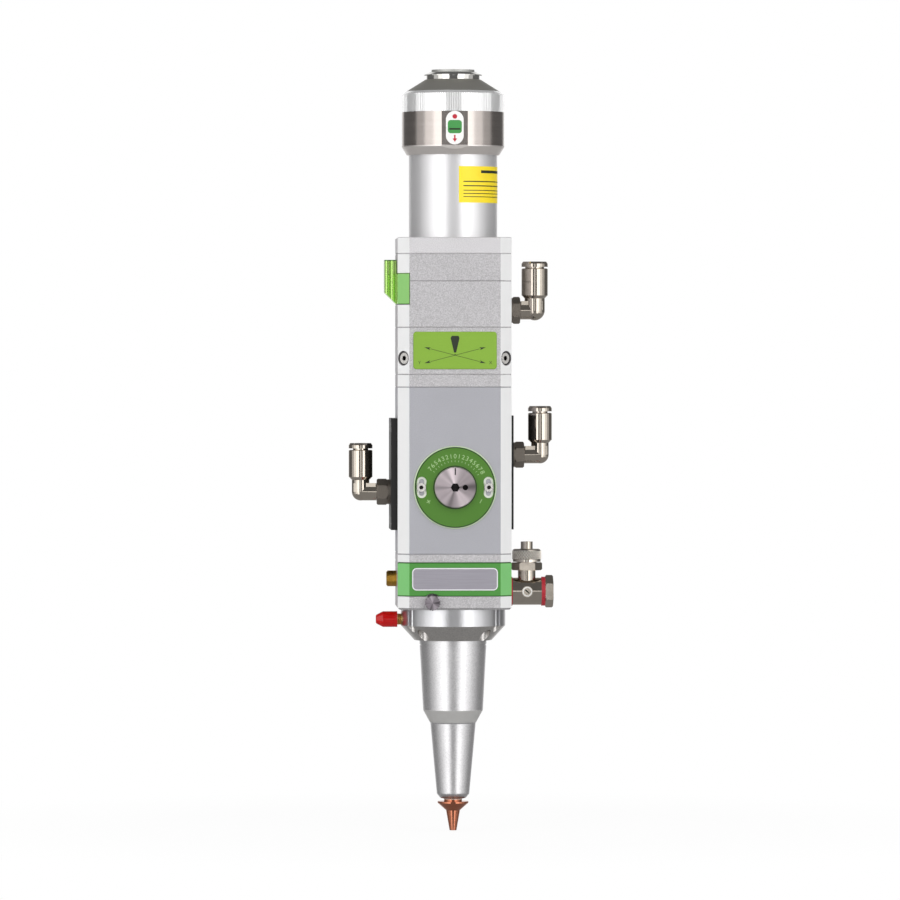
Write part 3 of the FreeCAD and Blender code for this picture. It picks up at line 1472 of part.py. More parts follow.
def elbow(hex_length, axis, arm, neck, body, tube):
    """An elbow: journal, level arm, neck and the upright body that takes the tube."""
    centre = hex_length + axis
    collet_bore = tube + s.tube_clearance + s.collet_wall + s.running_gap
    upright = turned([
        (0, 0), (neck, 0), (neck, s.elbow_neck_top - (body - neck)), (body, s.elbow_neck_top),
        (body, s.elbow_body_top), (0, s.elbow_body_top),
    ])
    dress(upright, "Chamfer", s.edge_break, level_edge(s.elbow_body_top))
    put(upright, (centre, 0, 0))
    cheek = arm * s.elbow_block_share
    block = slab((hex_length + s.drawer_gap * 2, centre + cheek), (-cheek, cheek), (0, arm))
    return cut(
        join(rod(s.elbow_journal_radius, s.elbow_journal_length + PROUD,
                 (hex_length - s.elbow_journal_length, 0, 0), "+X"),
             rod(arm, centre - hex_length - s.drawer_gap / 2,
                 (hex_length + s.drawer_gap / 2, 0, 0), "+X"),
             ball(neck, (centre, 0, 0)), upright, block),
        rod(collet_bore, s.collet_stem_length + s.collet_travel + PROUD,
            (centre, 0, s.elbow_body_top - s.collet_stem_length - s.collet_travel)),
        rod(tube + s.tube_clearance, s.elbow_body_top - s.elbow_seat_height,
            (centre, 0, s.elbow_seat_height)),
        rod(s.elbow_duct_radius, s.elbow_body_top, (centre, 0, 0)),
        rod(s.elbow_duct_radius, centre, (hex_length - s.elbow_journal_length - PROUD, 0, 0),
            "+X"),
    )


def collet(body, tube):
    """A release collet: a flat head and a stem round the tube, z = 0 under the head."""
    tube_bore = tube + s.tube_clearance
    stem = tube_bore + s.collet_wall
    return turned([
        (tube_bore, -s.collet_stem_length), (stem, -s.collet_stem_length), (stem, 0),
        (body, 0), (body, s.collet_edge_height),
        (body - s.collet_edge_inset, s.collet_head_thickness),
        (tube_bore, s.collet_head_thickness),
    ])


studs = []
for name, side, cover, height, hex_length, flats, axis, arm, neck, body, tube in fittings:
    turn = Rotation() if side > 0 else SIDE_TURN
    at = (side * (HALF_BODY + cover), BEAM_Y, height)
    studs.append(put(stud(hex_length, flats, s.port_stem_length - cover), at, turn))
    piece(f"elbow_{name}", elbow(hex_length, axis, arm, neck, body, tube), at, turn)
    collet_at = (side * (HALF_BODY + cover + hex_length + axis), BEAM_Y,
                 height + s.elbow_body_top + s.collet_travel + s.still_gap)
    piece(f"collet_{name}", collet(body, tube), collet_at, turn)
piece("port_studs", group(*studs))

# Collimator tube with its square foot, milled in one
tube = join(
    module(s.foot_height),
    rod(s.tube_radius, s.foot_height + s.tube_height),
)
piece("collimator_tube", cut(
    tube, bore(s.tube_bore_radius, s.foot_height, s.foot_height + s.tube_height + PROUD),
    bore(s.beam_radius, -PROUD, s.foot_height + PROUD)), on_beam(FOOT))

# Steel ring round the socket, with a milled flat for the plaque
ring = turned([
    (s.socket_bore_radius, 0),
    (s.ring_low_radius, 0),
    (s.ring_radius, s.ring_chamfer_height),
    (s.ring_radius, s.ring_height),
    (s.ring_bore_radius, s.ring_height),
    (s.ring_bore_radius, s.ring_floor),
    (s.socket_bore_radius, s.ring_floor),
])
FLAT_Y = root(s.ring_radius * s.ring_radius - s.ring_flat_half_width * s.ring_flat_half_width)
flat = slab((-s.ring_radius, s.ring_radius), (-s.ring_radius - PROUD, -FLAT_Y),
            (s.ring_flat_base, s.ring_height + PROUD))
piece("receiver_ring", cut(ring, flat), on_beam(TUBE_TOP))

# Small oval plaque on the flat
piece("ring_plaque", rounded_plate(
    s.plaque_width, s.plaque_height, s.plaque_thickness, s.plaque_round),
    (0, BEAM_Y - FLAT_Y, TUBE_TOP + s.plaque_base + s.plaque_height / 2))

# Fibre socket: a flanged sleeve in the ring
COLLAR_BASE = s.ring_height + s.lock_height + s.collar_gap
COLLAR_STACK = (s.collar_height + s.collar_lip_height + s.collar_cone_height
                + s.collar_rim_height)
SOCKET_TOP = COLLAR_BASE + s.collar_height
piece("fibre_socket", turned([
    (s.socket_bore_radius - s.cell_wall, s.ring_floor),
    (s.ring_bore_radius - s.still_gap, s.ring_floor),
    (s.ring_bore_radius - s.still_gap, s.ring_floor + s.socket_flange_height),
    (s.socket_radius, s.ring_floor + s.socket_flange_height),
    (s.socket_radius, SOCKET_TOP),
    (s.socket_bore_radius, SOCKET_TOP),
    (s.socket_bore_radius, SOCKET_TOP - s.socket_bore_depth),
    (s.socket_bore_radius - s.cell_wall, SOCKET_TOP - s.socket_bore_depth),
]), on_beam(TUBE_TOP))

# Locking ring: fluted grip, sloping shoulder and a bore that turns on the sleeve
LOCK_BORE = s.socket_radius + s.running_gap
lock = turned([
    (s.lock_cavity_radius, 0),
    (s.lock_radius, 0),
    (s.lock_radius, s.lock_grip_height),
    (s.lock_shoulder_radius, s.lock_grip_height + s.lock_edge),
    (s.lock_top_radius, s.lock_height),
    (LOCK_BORE, s.lock_height),
    (LOCK_BORE, s.lock_cavity_height),
    (s.lock_cavity_radius, s.lock_cavity_height),
])
flute_sketch = sketch_on(lock, "XY_Plane", [
    (s.lock_radius - s.lock_flute_depth, 0),
    (s.lock_radius + PROUD, s.lock_flute_width),
    (s.lock_radius + PROUD, -s.lock_flute_width),
])
flute = lock.newObject("PartDesign::Pocket", "flute")
flute.Profile = flute_sketch
flute.Reversed = True
bind(flute, "Length", s.lock_grip_height + s.lock_edge)
lock.Tip = flute
doc.recompute()
flutes = lock.newObject("PartDesign::PolarPattern", "flutes")
flutes.Originals = [flute]
flutes.Axis = (flute_sketch, ["N_Axis"])
flutes.Angle = 2 * HALF_TURN
flutes.setExpression("Occurrences", s.lock_flutes.formula)
lock.Tip = flutes
piece("lock_ring", lock, on_beam(LOCK))

# Chromed collar, screwed on the sleeve's end above the locking ring
piece("socket_collar", turned([
    (s.socket_radius + s.still_gap, 0),
    (s.collar_radius, 0),
    (s.collar_radius, s.collar_height),
    (s.collar_lip_radius, s.collar_height),
    (s.collar_lip_radius, s.collar_height + s.collar_lip_height),
    (s.collar_cone_radius, s.collar_height + s.collar_lip_height + s.collar_cone_height),
    (s.collar_rim_radius, s.collar_height + s.collar_lip_height + s.collar_cone_height),
    (s.collar_rim_radius, COLLAR_STACK),
    (s.socket_bore_radius, COLLAR_STACK),
    (s.socket_bore_radius, s.collar_height + s.still_gap),
    (s.socket_radius + s.still_gap, s.collar_height + s.still_gap),
]), on_beam(TUBE_TOP + COLLAR_BASE))

# Build, check and write
doc.recompute()
for thing in doc.Objects:
    if "Invalid" in thing.State or "Error" in thing.State:
        raise RuntimeError(f"{thing.Name} ({thing.Label}) is not built: {thing.State}")
os.makedirs("parts", exist_ok=True)
total = 0.0
for node, thing in sorted(pieces.items()):
    shape = thing.Shape
    if shape.isNull() or not shape.isValid() or not shape.Solids:
        raise RuntimeError(f"{node} is not a valid solid")
    shape.exportStep(os.path.join("parts", f"{node}.step"))
    total += shape.Volume
    box = shape.BoundBox
    print(f"{node:24s} {len(shape.Solids)} solids {shape.Volume:10.1f} mm3 "
          f"x {box.XMin:7.2f} {box.XMax:7.2f} y {box.YMin:7.2f} {box.YMax:7.2f} "
          f"z {box.ZMin:7.2f} {box.ZMax:7.2f}")
print(f"{len(pieces)} nodes, {total:.0f} mm3")
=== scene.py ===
"""Looks of the laser cutting head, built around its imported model.

The solids stay as they are and get their finishes here. The markings, the knurl and the
printed faces are added as pieces of their own, and a plain studio stands round the head.
Lengths are in metres unless a name ends in _mm. The frame is the part's own: +Z up the beam,
+Y out of the back face, +X to the right seen from the front.
"""
import logging
import math
from dataclasses import dataclass
from enum import Enum
from functools import partial
from typing import Any, Callable, Optional, Sequence, Union

import bmesh
import bpy
from mathutils import Matrix, Vector

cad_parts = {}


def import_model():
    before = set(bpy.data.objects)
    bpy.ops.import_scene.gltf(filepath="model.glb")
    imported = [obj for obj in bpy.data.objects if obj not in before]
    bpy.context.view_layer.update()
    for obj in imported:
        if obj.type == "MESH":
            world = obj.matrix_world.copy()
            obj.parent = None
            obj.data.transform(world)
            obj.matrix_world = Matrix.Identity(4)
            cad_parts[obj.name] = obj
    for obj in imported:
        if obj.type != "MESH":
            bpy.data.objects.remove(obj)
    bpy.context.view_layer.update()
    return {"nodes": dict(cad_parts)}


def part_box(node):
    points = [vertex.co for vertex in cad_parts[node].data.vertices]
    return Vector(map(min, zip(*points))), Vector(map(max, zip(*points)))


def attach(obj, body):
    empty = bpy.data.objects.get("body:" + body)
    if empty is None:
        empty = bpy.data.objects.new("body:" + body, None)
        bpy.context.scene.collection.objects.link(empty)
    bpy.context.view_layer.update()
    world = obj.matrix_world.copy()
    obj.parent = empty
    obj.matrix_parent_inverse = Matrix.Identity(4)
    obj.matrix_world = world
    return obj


LOG = logging.getLogger("cutting_head")
MM = 0.001

# How far a printed mark stands out of its face and reaches into it
PROUD = 0.03 * MM
# Size of the patches that hands have rubbed
HANDLED_PITCH = 14 * MM
# The part of the noise's range that the marks' colour, and the wear on top, spread over
MARK_RANGE = (0.3, 0.7)
WEAR_RANGE = (0.7, 1.3)
# Painted sheen: light and dark wedges round a faced end, painted into its colour for the fan of
# reflections that a facing cut throws
SHEEN_WEDGES = 7.0

# Places and heights in the part's frame
BEAM_Y = -30.0 * MM
DIAL_CENTRE = (0.0, -60.0 * MM, -8.7 * MM)
THUMB_CENTRE = (-11.9 * MM, -60.0 * MM, -69.4 * MM)
TOP = 1.0
COLLAR_RIM = 210.45 * MM
LOCK_SHOULDER = 200.45 * MM
RING_BEVEL = (166.5 * MM, 171.5 * MM)
FOOT_TOP = 122.9 * MM
NUT_KNURL = (-47.3 * MM, -42.6 * MM)
FLANGE_DRUM = -82.2 * MM
NOSE_STEP = (-133.6 * MM, -127.0 * MM)

Work = bmesh.types.BMesh
Node = bpy.types.Node
Socket = bpy.types.NodeSocket
Value = Union[float, int, bool, Sequence[float], Socket, Node]
Point = tuple[float, float]
Spot = tuple[float, float, float]
Drawing = Callable[[Work], None]


def linear(colour: str) -> tuple[float, float, float, float]:
    """Turn an sRGB hex colour into the linear colour that shaders take.

    Args:
        colour: Six hex digits after a hash sign.

    Returns:
        Red, green, blue and an alpha of 1.
    """
    channels = [int(colour[i:i + 2], 16) / 255 for i in (1, 3, 5)]
    red, green, blue = [
        c / 12.92 if c <= 0.04045 else ((c + 0.055) / 1.055) ** 2.4 for c in channels]
    return red, green, blue, 1.0


def feed(tree: bpy.types.NodeTree, target: Socket, value: Value) -> None:
    """Set an input, or link it where the value comes from a node.

    Args:
        tree: The tree that both are in.
        target: The input.
        value: A plain value, an output, or a node that stands for its first output.
    """
    if isinstance(value, Node):
        value = value.outputs[0]
    if isinstance(value, Socket):
        tree.links.new(value, target)
    else:
        target.default_value = value


def add_node(tree: bpy.types.NodeTree, kind: str, inputs: dict[Any, Value],
             **settings: Any) -> Node:
    """Add a node with its settings, values and links.

    Args:
        tree: The tree that takes the node.
        kind: The node's type.
        inputs: What feeds its inputs, by their name or number.
        settings: The node's own settings.

    Returns:
        The new node.
    """
    node = tree.nodes.new(kind)
    for name, value in settings.items():
        setattr(node, name, value)
    for name, value in inputs.items():
        feed(tree, node.inputs[name], value)
    return node


def empty_tree(owner: Union[bpy.types.Material, bpy.types.World]) -> bpy.types.NodeTree:
    """Give the node tree of a material or a world, with nothing in it."""
    owner.use_nodes = True
    owner.node_tree.nodes.clear()
    return owner.node_tree


class Grain(Enum):
    """How a surface was made, and how its marks stretch in x, y and z."""

    PLAIN = ("moulded or polished", (1.0, 1.0, 1.0))
    BLASTED = ("blasted with fine beads", (1.0, 1.0, 1.0))
    TURNED_Z = ("turned about the beam", (0.01, 0.01, 1.0))
    TURNED_X = ("turned about a side axis", (1.0, 0.01, 0.01))
    TURNED_FACE = ("faced about a front-to-back axis", (1.0, 1.0, 1.0))
    BRUSHED = ("brushed from left to right", (0.03, 1.0, 1.0))


class Shading:
    """One material in the making: its tree, the place on the piece, and its shader."""

    def __init__(self, finish: "Finish") -> None:
        """Start the material with a shader at the finish's even values."""
        self.material = bpy.data.materials.new(finish.name)
        self.tree = empty_tree(self.material)
        self.node = partial(add_node, self.tree)
        self.centre = finish.centre
        self.place = self.node("ShaderNodeTexCoord", {}).outputs["Object"]
        self.shader = self.node("ShaderNodeBsdfPrincipled", {
            "Base Color": linear(finish.colour), "Metallic": finish.metallic,
            "Roughness": finish.roughness, "Coat Weight": finish.coat,
            "Anisotropic": finish.anisotropy, "Transmission Weight": finish.transmission})

    def feed(self, name: str, value: Value) -> None:
        """Feed one of the shader's inputs."""
        feed(self.tree, self.shader.inputs[name], value)

    def over(self, mask: Value, others: dict[str, Value]) -> None:
        """Lay other values over the shader's inputs where the mask is 1.

        Args:
            mask: 1 where the other values are, and 0 elsewhere.
            others: The other values by the input's name.
        """
        for name, other in others.items():
            target = self.shader.inputs[name]
            first = target.links[0].from_socket if target.is_linked else target.default_value
            mix = self.node("ShaderNodeMix", {"Factor": mask, "A": first, "B": other},
                            data_type="RGBA" if target.type == "RGBA" else "FLOAT")
            self.feed(name, mix.outputs["Result"])

    def faced(self) -> Node:
        """Give the place on a faced end, from its centre, with the depth left out."""
        return self.node("ShaderNodeMapping", {
            "Vector": self.place, "Rotation": (math.pi / 2, 0, 0), "Scale": (1, 0, 1),
            "Location": (-self.centre[0], self.centre[2], 0)})

    def radius(self) -> Socket:
        """Give the distance from the centre's front-to-back axis."""
        return self.node("ShaderNodeVectorMath", {0: self.faced()},
                         operation="LENGTH").outputs["Value"]

    def outside(self, radius_mm: float) -> Node:
        """Give 1 outside a radius about that axis."""
        return self.node("ShaderNodeMath", {0: self.radius(), 1: radius_mm * MM},
                         operation="GREATER_THAN")

    def between(self, low: float, high: float) -> Node:
        """Give 1 between two heights."""
        level = self.node("ShaderNodeSeparateXYZ", {0: self.place})
        return self.node("ShaderNodeMath", {
            0: level.outputs["Z"], 1: (low + high) / 2, 2: (high - low) / 2},
            operation="COMPARE")

    def sunk(self, name: str, facing: Spot, below_mm: float) -> Node:
        """Give 1 on what lies deeper than a step behind a node's foremost point.

        Args:
            name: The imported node.
            facing: The way its face looks, in absolute coordinates, so it holds for left
                and right.
            below_mm: The step.

        Returns:
            The mask.
        """
        front = max(Vector(map(abs, v.co)).dot(Vector(facing))
                    for v in bpy.data.objects[name].data.vertices)
        size = self.node("ShaderNodeVectorMath", {0: self.place}, operation="ABSOLUTE")
        height = self.node("ShaderNodeVectorMath", {0: size, 1: facing},
                           operation="DOT_PRODUCT")
        return self.node("ShaderNodeMath", {
            0: height.outputs["Value"], 1: front - below_mm * MM}, operation="LESS_THAN")


@dataclass(frozen=True)
class Finish:
    """One real surface finish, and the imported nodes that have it."""

    name: str
    colour: str
    metallic: float
    roughness: float
    grain: Grain = Grain.PLAIN
    pitch_mm: float = 0.6
    depth_mm: float = 0.0
    spread: float = 0.0
    mottle: float = 0.0
    nodes: tuple[str, ...] = ()
    coat: float = 0.0
    anisotropy: float = 0.0
    transmission: float = 0.0
    centre: Spot = (0.0, 0.0, 0.0)

    def build(self) -> bpy.types.Material:
        """Make the material from the finish's own values."""
        on = Shading(self)
        if self.anisotropy:
            on.feed("Tangent", on.node("ShaderNodeTangent", {}, direction_type="RADIAL",
                                       axis="Y"))
        marks = self.marks(on)
        if self.spread:
            handled = on.node("ShaderNodeTexNoise", {
                "Vector": on.place, "Scale": 1 / HANDLED_PITCH, "Detail": 2.0})
            worn = on.node("ShaderNodeMath", {0: marks, 1: handled.outputs["Fac"]},
                           operation="ADD")
            on.feed("Roughness", on.node("ShaderNodeMapRange", {
                "Value": worn, "From Min": WEAR_RANGE[0], "From Max": WEAR_RANGE[1],
                "To Min": self.roughness - self.spread,
                "To Max": self.roughness + self.spread}))
        if self.mottle:
            on.feed("Base Color", self.mottled(on, marks))
        if self.depth_mm:
            on.feed("Normal", on.node("ShaderNodeBump", {
                "Height": marks, "Distance": self.depth_mm * MM, "Strength": 1.0}))
        self.paint(on)
        on.node("ShaderNodeOutputMaterial", {"Surface": on.shader})
        return on.material

    def marks(self, on: Shading) -> Socket:
        """Give the height of the tool or blasting marks, from 0 to 1."""
        scale = 1 / (self.pitch_mm * MM)
        if self.grain is Grain.TURNED_FACE:
            noise = on.node("ShaderNodeTexNoise", {
                "W": on.radius(), "Scale": scale, "Detail": 1.0}, noise_dimensions="1D")
        else:
            run = on.node("ShaderNodeMapping", {
                "Vector": on.place, "Scale": self.grain.value[1]})
            noise = on.node("ShaderNodeTexNoise", {
                "Vector": run, "Scale": scale, "Detail": 2.0})
        return noise.outputs["Fac"]

    def mottled(self, on: Shading, marks: Socket) -> Socket:
        """Give the base colour, lighter and darker with the marks, or on a faced end with wedges
        of painted sheen.
        """
        if self.grain is Grain.TURNED_FACE:
            # On a faced end the wedges by angle are painted sheen, not marks of the cut.
            angle = on.node("ShaderNodeTexGradient", {"Vector": on.faced()},
                            gradient_type="RADIAL")
            marks = on.node("ShaderNodeTexNoise", {
                "W": angle.outputs["Fac"], "Scale": SHEEN_WEDGES, "Detail": 1.0},
                noise_dimensions="1D").outputs["Fac"]
        low, high = [
            tuple(min(c * (1 + sign * self.mottle), 1.0) for c in linear(self.colour)[:3]) + (1.0,)
            for sign in (-1, 1)]
        share = on.node("ShaderNodeMapRange", {
            "Value": marks, "From Min": MARK_RANGE[0], "From Max": MARK_RANGE[1]})
        return on.node("ShaderNodeMix", {"Factor": share, "A": low, "B": high},
                       data_type="RGBA").outputs["Result"]

    def paint(self, on: Shading) -> None:
        """Change parts of the surface; a plain finish has none."""


@dataclass(frozen=True)
class MaskedFinish(Finish):
    """A finish with a second one where a mask of place says so."""

    other_colour: str = "#ffffff"
    other_roughness: float = 0.4
    other_metallic: Optional[float] = None

    def mask(self, on: Shading) -> Node:
        """Give 1 where the second finish is, and 0 elsewhere."""
        raise NotImplementedError

    def paint(self, on: Shading) -> None:
        """Lay the second finish over the first by the mask."""
        others: dict[str, Value] = {"Base Color": linear(self.other_colour),
                                    "Roughness": self.other_roughness}
        if self.other_metallic is not None:
            others["Metallic"] = self.other_metallic
        on.over(self.mask(on), others)


@dataclass(frozen=True)
class HousingFinish(MaskedFinish):
    """Blasted faces with corner cuts that were milled bright afterwards."""

    other_colour: str = "#f2f2f2"
    other_roughness: float = 0.42
    other_metallic: Optional[float] = 0.3
    width_mm: float = 60.0
    corner_cut_mm: float = 5.8
    margin_mm: float = 0.15

    def mask(self, on: Shading) -> Node:
        """Give 1 on the corner cuts, where |x| + |y| about the beam is greatest."""
        about = on.node("ShaderNodeVectorMath", {0: on.place, 1: (0, -BEAM_Y, 0)},
                        operation="ADD")
        size = on.node("ShaderNodeVectorMath", {0: about}, operation="ABSOLUTE")
        reach = on.node("ShaderNodeVectorMath", {0: size, 1: (1, 1, 0)},
                        operation="DOT_PRODUCT")
        corner = (self.width_mm - self.corner_cut_mm - self.margin_mm) * MM
        return on.node("ShaderNodeMath", {0: reach.outputs["Value"], 1: corner},
                       operation="GREATER_THAN")


@dataclass(frozen=True)
class DrawerFinish(HousingFinish):
    """A dyed front with lighter corner cuts, and dark lines of painted shade along its upper and
    lower edges for the shadows of the gaps there.
    """

    other_roughness: float = 0.38
    other_metallic: Optional[float] = None
    line_mm: float = 0.45
    line_colour: str = "#2f6a26"

    def paint(self, on: Shading) -> None:
        """Lay on the corner cuts, then the two lines of painted shade."""
        super().paint(on)
        # Painted shade: dark lines at the front's top and bottom edges, for the shadows of the
        # gaps there.
        for edge in [corner[2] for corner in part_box(self.nodes[0])]:
            line = on.between(edge - self.line_mm * MM, edge + self.line_mm * MM)
            on.over(line, {"Base Color": linear(self.line_colour)})


@dataclass(frozen=True)
class TubeFinish(HousingFinish):
    """A satin tube over a blasted square foot with bright corner cuts."""

    tube_colour: str = "#e2e1e2"
    tube_roughness: float = 0.34

    def paint(self, on: Shading) -> None:
        """Lay on the corner cuts, then the tube."""
        super().paint(on)
        on.over(on.between(FOOT_TOP, TOP), {
            "Base Color": linear(self.tube_colour), "Roughness": self.tube_roughness})


@dataclass(frozen=True)
class LevelFinish(MaskedFinish):
    """A finish that changes between two heights."""

    levels: Point = (0.0, TOP)

    def mask(self, on: Shading) -> Node:
        """Give 1 between the heights."""
        return on.between(*self.levels)


@dataclass(frozen=True)
class RecessFinish(MaskedFinish):
    """A finish with painted shade, in its second colour, in the recesses of its first node's face.
    """

    facing: Spot = (0.0, 1.0, 0.0)
    below_mm: float = 0.15
    within_mm: float = 1000.0

    def mask(self, on: Shading) -> Node:
        """Give 1 behind the face and inside the radius."""
        # What lies sunk behind the face, inside the radius, gets the painted shade.
        sunk = on.sunk(self.nodes[0], self.facing, self.below_mm)
        return on.node("ShaderNodeMath", {0: sunk, 1: on.outside(self.within_mm)},
                       operation="GREATER_THAN")


@dataclass(frozen=True)
class ScaleFinish(MaskedFinish):
    """A dyed ring with a bare bevel round its rim, a dark line of painted shade just inside the
    bevel, and ledges in its slots painted bright against the shade on them.
    """

    rim_mm: float = 21.25
    outline_mm: float = 20.65
    outline_colour: str = "#27421c"
    ledge_mm: float = 0.4
    ledge_colour: str = "#e3e6dc"

    def mask(self, on: Shading) -> Node:
        """Give 1 on the bevel."""
        return on.outside(self.rim_mm)

    def paint(self, on: Shading) -> None:
        """Lay on the painted light of the ledges, then the line of painted shade, then the bevel.
        """
        ledges = on.sunk(self.nodes[0], (0, 1, 0), self.ledge_mm)
        # Painted light: the ledges in the slots lie in shade and are painted bright.
        on.over(ledges, {"Base Color": linear(self.ledge_colour)})
        # Painted shade: a dark line just inside the bevel.
        on.over(on.outside(self.outline_mm), {"Base Color": linear(self.outline_colour)})
        super().paint(on)


def new_mesh(name: str, draw: Drawing) -> bpy.types.Object:
    """Make a mesh object at the origin from a function that fills a bmesh.

    Args:
        name: The piece's name.
        draw: Fills the bmesh, in the part's frame.

    Returns:
        The object, linked to the scene.
    """
    work = bmesh.new()
    draw(work)
    bmesh.ops.remove_doubles(work, verts=work.verts, dist=1e-7)
    bmesh.ops.recalc_face_normals(work, faces=work.faces)
    mesh = bpy.data.meshes.new(name)
    work.to_mesh(mesh)
    work.free()
    made = bpy.data.objects.new(name, mesh)
    bpy.context.scene.collection.objects.link(made)
    return made


def plain_mesh(holder: bpy.types.Object) -> bpy.types.Mesh:
    """Give the plain mesh that a text or a modified object comes to."""
    bpy.context.view_layer.update()
    return bpy.data.meshes.new_from_object(
        holder.evaluated_get(bpy.context.evaluated_depsgraph_get()))


def loft(work: Work, loops: Sequence[Sequence[Sequence[float]]], ends: bool = True) -> None:
    """Skin a row of closed loops of equal count.

    Args:
        work: The bmesh that takes the skin.
        loops: The points of each loop, in order.
        ends: Whether the first and the last loop are capped; or else the last meets the first.
    """
    rings = [[work.verts.new(point) for point in loop] for loop in loops]
    if ends:
        work.faces.new(rings[0])
        work.faces.new(list(reversed(rings[-1])))
    else:
        rings.append(rings[0])
    for first, second in zip(rings, rings[1:]):
        for i in range(len(first)):
            j = (i + 1) % len(first)
            work.faces.new([first[i], second[i], second[j], first[j]])


def printed(work: Work, outline: Sequence[Sequence[float]], face_y: float,
            place: Matrix = Matrix()) -> None:
    """Lay a closed outline on a front face, just proud of it.

    Args:
        work: The bmesh that takes it.
        outline: Corners as x and z.
        face_y: The face's y.
        place: Where the print goes.
    """
    loft(work, [[place @ Vector((x, y, z)) for x, z in outline]
                for y in (face_y - PROUD, face_y + PROUD)])


def rounded(width: float, height: float, radius: float, steps: int = 8,
            centre: Point = (0.0, 0.0)) -> list[Point]:
    """Give the outline of a rectangle with round corners.

    Args:
        width: Its width.
        height: Its height.
        radius: Its corner radius.
        steps: Segments in each corner.
        centre: Its middle in x and z.

    Returns:
        Corners as x and z, in order.
    """
    points = []
    for quarter, (sign_x, sign_z) in enumerate(((1, 1), (-1, 1), (-1, -1), (1, -1))):
        for i in range(steps + 1):
            turn = math.pi / 2 * (quarter + i / steps)
            points.append((
                centre[0] + sign_x * (width / 2 - radius) + radius * math.cos(turn),
                centre[1] + sign_z * (height / 2 - radius) + radius * math.sin(turn)))
    return points


def circle(radius: float, steps: int = 48) -> list[Point]:
    """Give a circle's points as x and z."""
    return [(radius * math.cos(turn), radius * math.sin(turn))
            for turn in (2 * math.pi * i / steps for i in range(steps))]


def frame_ring(work: Work, outer: Sequence[Point], inner: Sequence[Point], near: float,
               far: float, place: Matrix = Matrix()) -> None:
    """Push the strip between two outlines of equal count back from one y to another.

    Args:
        work: The bmesh that takes it.
        outer: The outer corners as x and z.
        inner: The inner corners as x and z.
        near: The front plane's y.
        far: The back plane's y.
        place: Where it goes.
    """
    loft(work, [[place @ Vector((x, y, z)) for x, z in outline]
                for outline, y in ((outer, near), (inner, near), (inner, far), (outer, far))],
         ends=False)


def letter(work: Work, word: str, size: float, place: Matrix) -> None:
    """Set flat letters, upright in x and z and facing -Y.

    Args:
        work: The bmesh that takes them.
        word: The letters.
        size: Their nominal height.
        place: Where their middle goes.
    """
    curve = bpy.data.curves.new("letters", "FONT")
    curve.body = word
    curve.size = size
    curve.align_x = curve.align_y = "CENTER"
    holder = bpy.data.objects.new("letters", curve)
    bpy.context.scene.collection.objects.link(holder)
    mesh = plain_mesh(holder)
    bpy.data.objects.remove(holder)
    mesh.transform(place @ Matrix.Rotation(math.pi / 2, 4, "X"))
    work.from_mesh(mesh)
    bpy.data.meshes.remove(mesh)


def row_tree() -> bpy.types.NodeTree:
    """Build the tree that repeats one small form in rows round the Z axis.

    Returns:
        A geometry node tree with named inputs. The form is drawn at the origin and points
        along +X, every second row is shifted by the stagger, and nothing in it is random.
    """
    tree = bpy.data.node_groups.new("rows_round_an_axis", "GeometryNodeTree")
    for name, kind in (
            ("Form", "Geometry"), ("Count", "Int"), ("Rows", "Int"), ("Radius", "Float"),
            ("Row pitch", "Float"), ("First angle", "Float"), ("Step angle", "Float"),
            ("Stagger", "Float"), ("Finish", "Material")):
        tree.interface.new_socket(name=name, in_out="INPUT", socket_type=f"NodeSocket{kind}")
    tree.interface.new_socket(name="Result", in_out="OUTPUT",
                              socket_type="NodeSocketGeometry")
    node = partial(add_node, tree)
    found: dict[Any, Any] = {
        socket.name: socket for socket in node("NodeGroupInput", {}).outputs}
    found["Index"] = node("GeometryNodeInputIndex", {})
    for result, operation, *terms in (
            ("Nudged", "ADD", "Index", 0.5),
            ("Share", "DIVIDE", "Nudged", "Count"),
            ("Row", "FLOOR", "Share"),
            ("Before", "MULTIPLY", "Row", "Count"),
            ("Column", "SUBTRACT", "Index", "Before"),
            ("Odd", "MODULO", "Row", 2.0),
            ("Shifted", "MULTIPLY_ADD", "Odd", "Stagger", "Column"),
            ("Angle", "MULTIPLY_ADD", "Shifted", "Step angle", "First angle"),
            ("Cosine", "COSINE", "Angle"),
            ("Sine", "SINE", "Angle"),
            ("X", "MULTIPLY", "Cosine", "Radius"),
            ("Y", "MULTIPLY", "Sine", "Radius"),
            ("Z", "MULTIPLY", "Row", "Row pitch"),
            ("All", "MULTIPLY", "Count", "Rows")):
        found[result] = node("ShaderNodeMath", {
            i: found.get(term, term) for i, term in enumerate(terms)}, operation=operation)
    spot = node("ShaderNodeCombineXYZ", {axis: found[axis] for axis in "XYZ"})
    points = node("GeometryNodePoints", {"Count": found["All"], "Position": spot})
    turn = node("FunctionNodeEulerToRotation", {
        0: node("ShaderNodeCombineXYZ", {"Z": found["Angle"]})})
    copies = node("GeometryNodeInstanceOnPoints", {
        "Points": points, "Instance": found["Form"], "Rotation": turn})
    solid = node("GeometryNodeRealizeInstances", {0: copies})
    dressed = node("GeometryNodeSetMaterial", {"Geometry": solid, "Material": found["Finish"]})
    node("NodeGroupOutput", {0: dressed})
    return tree


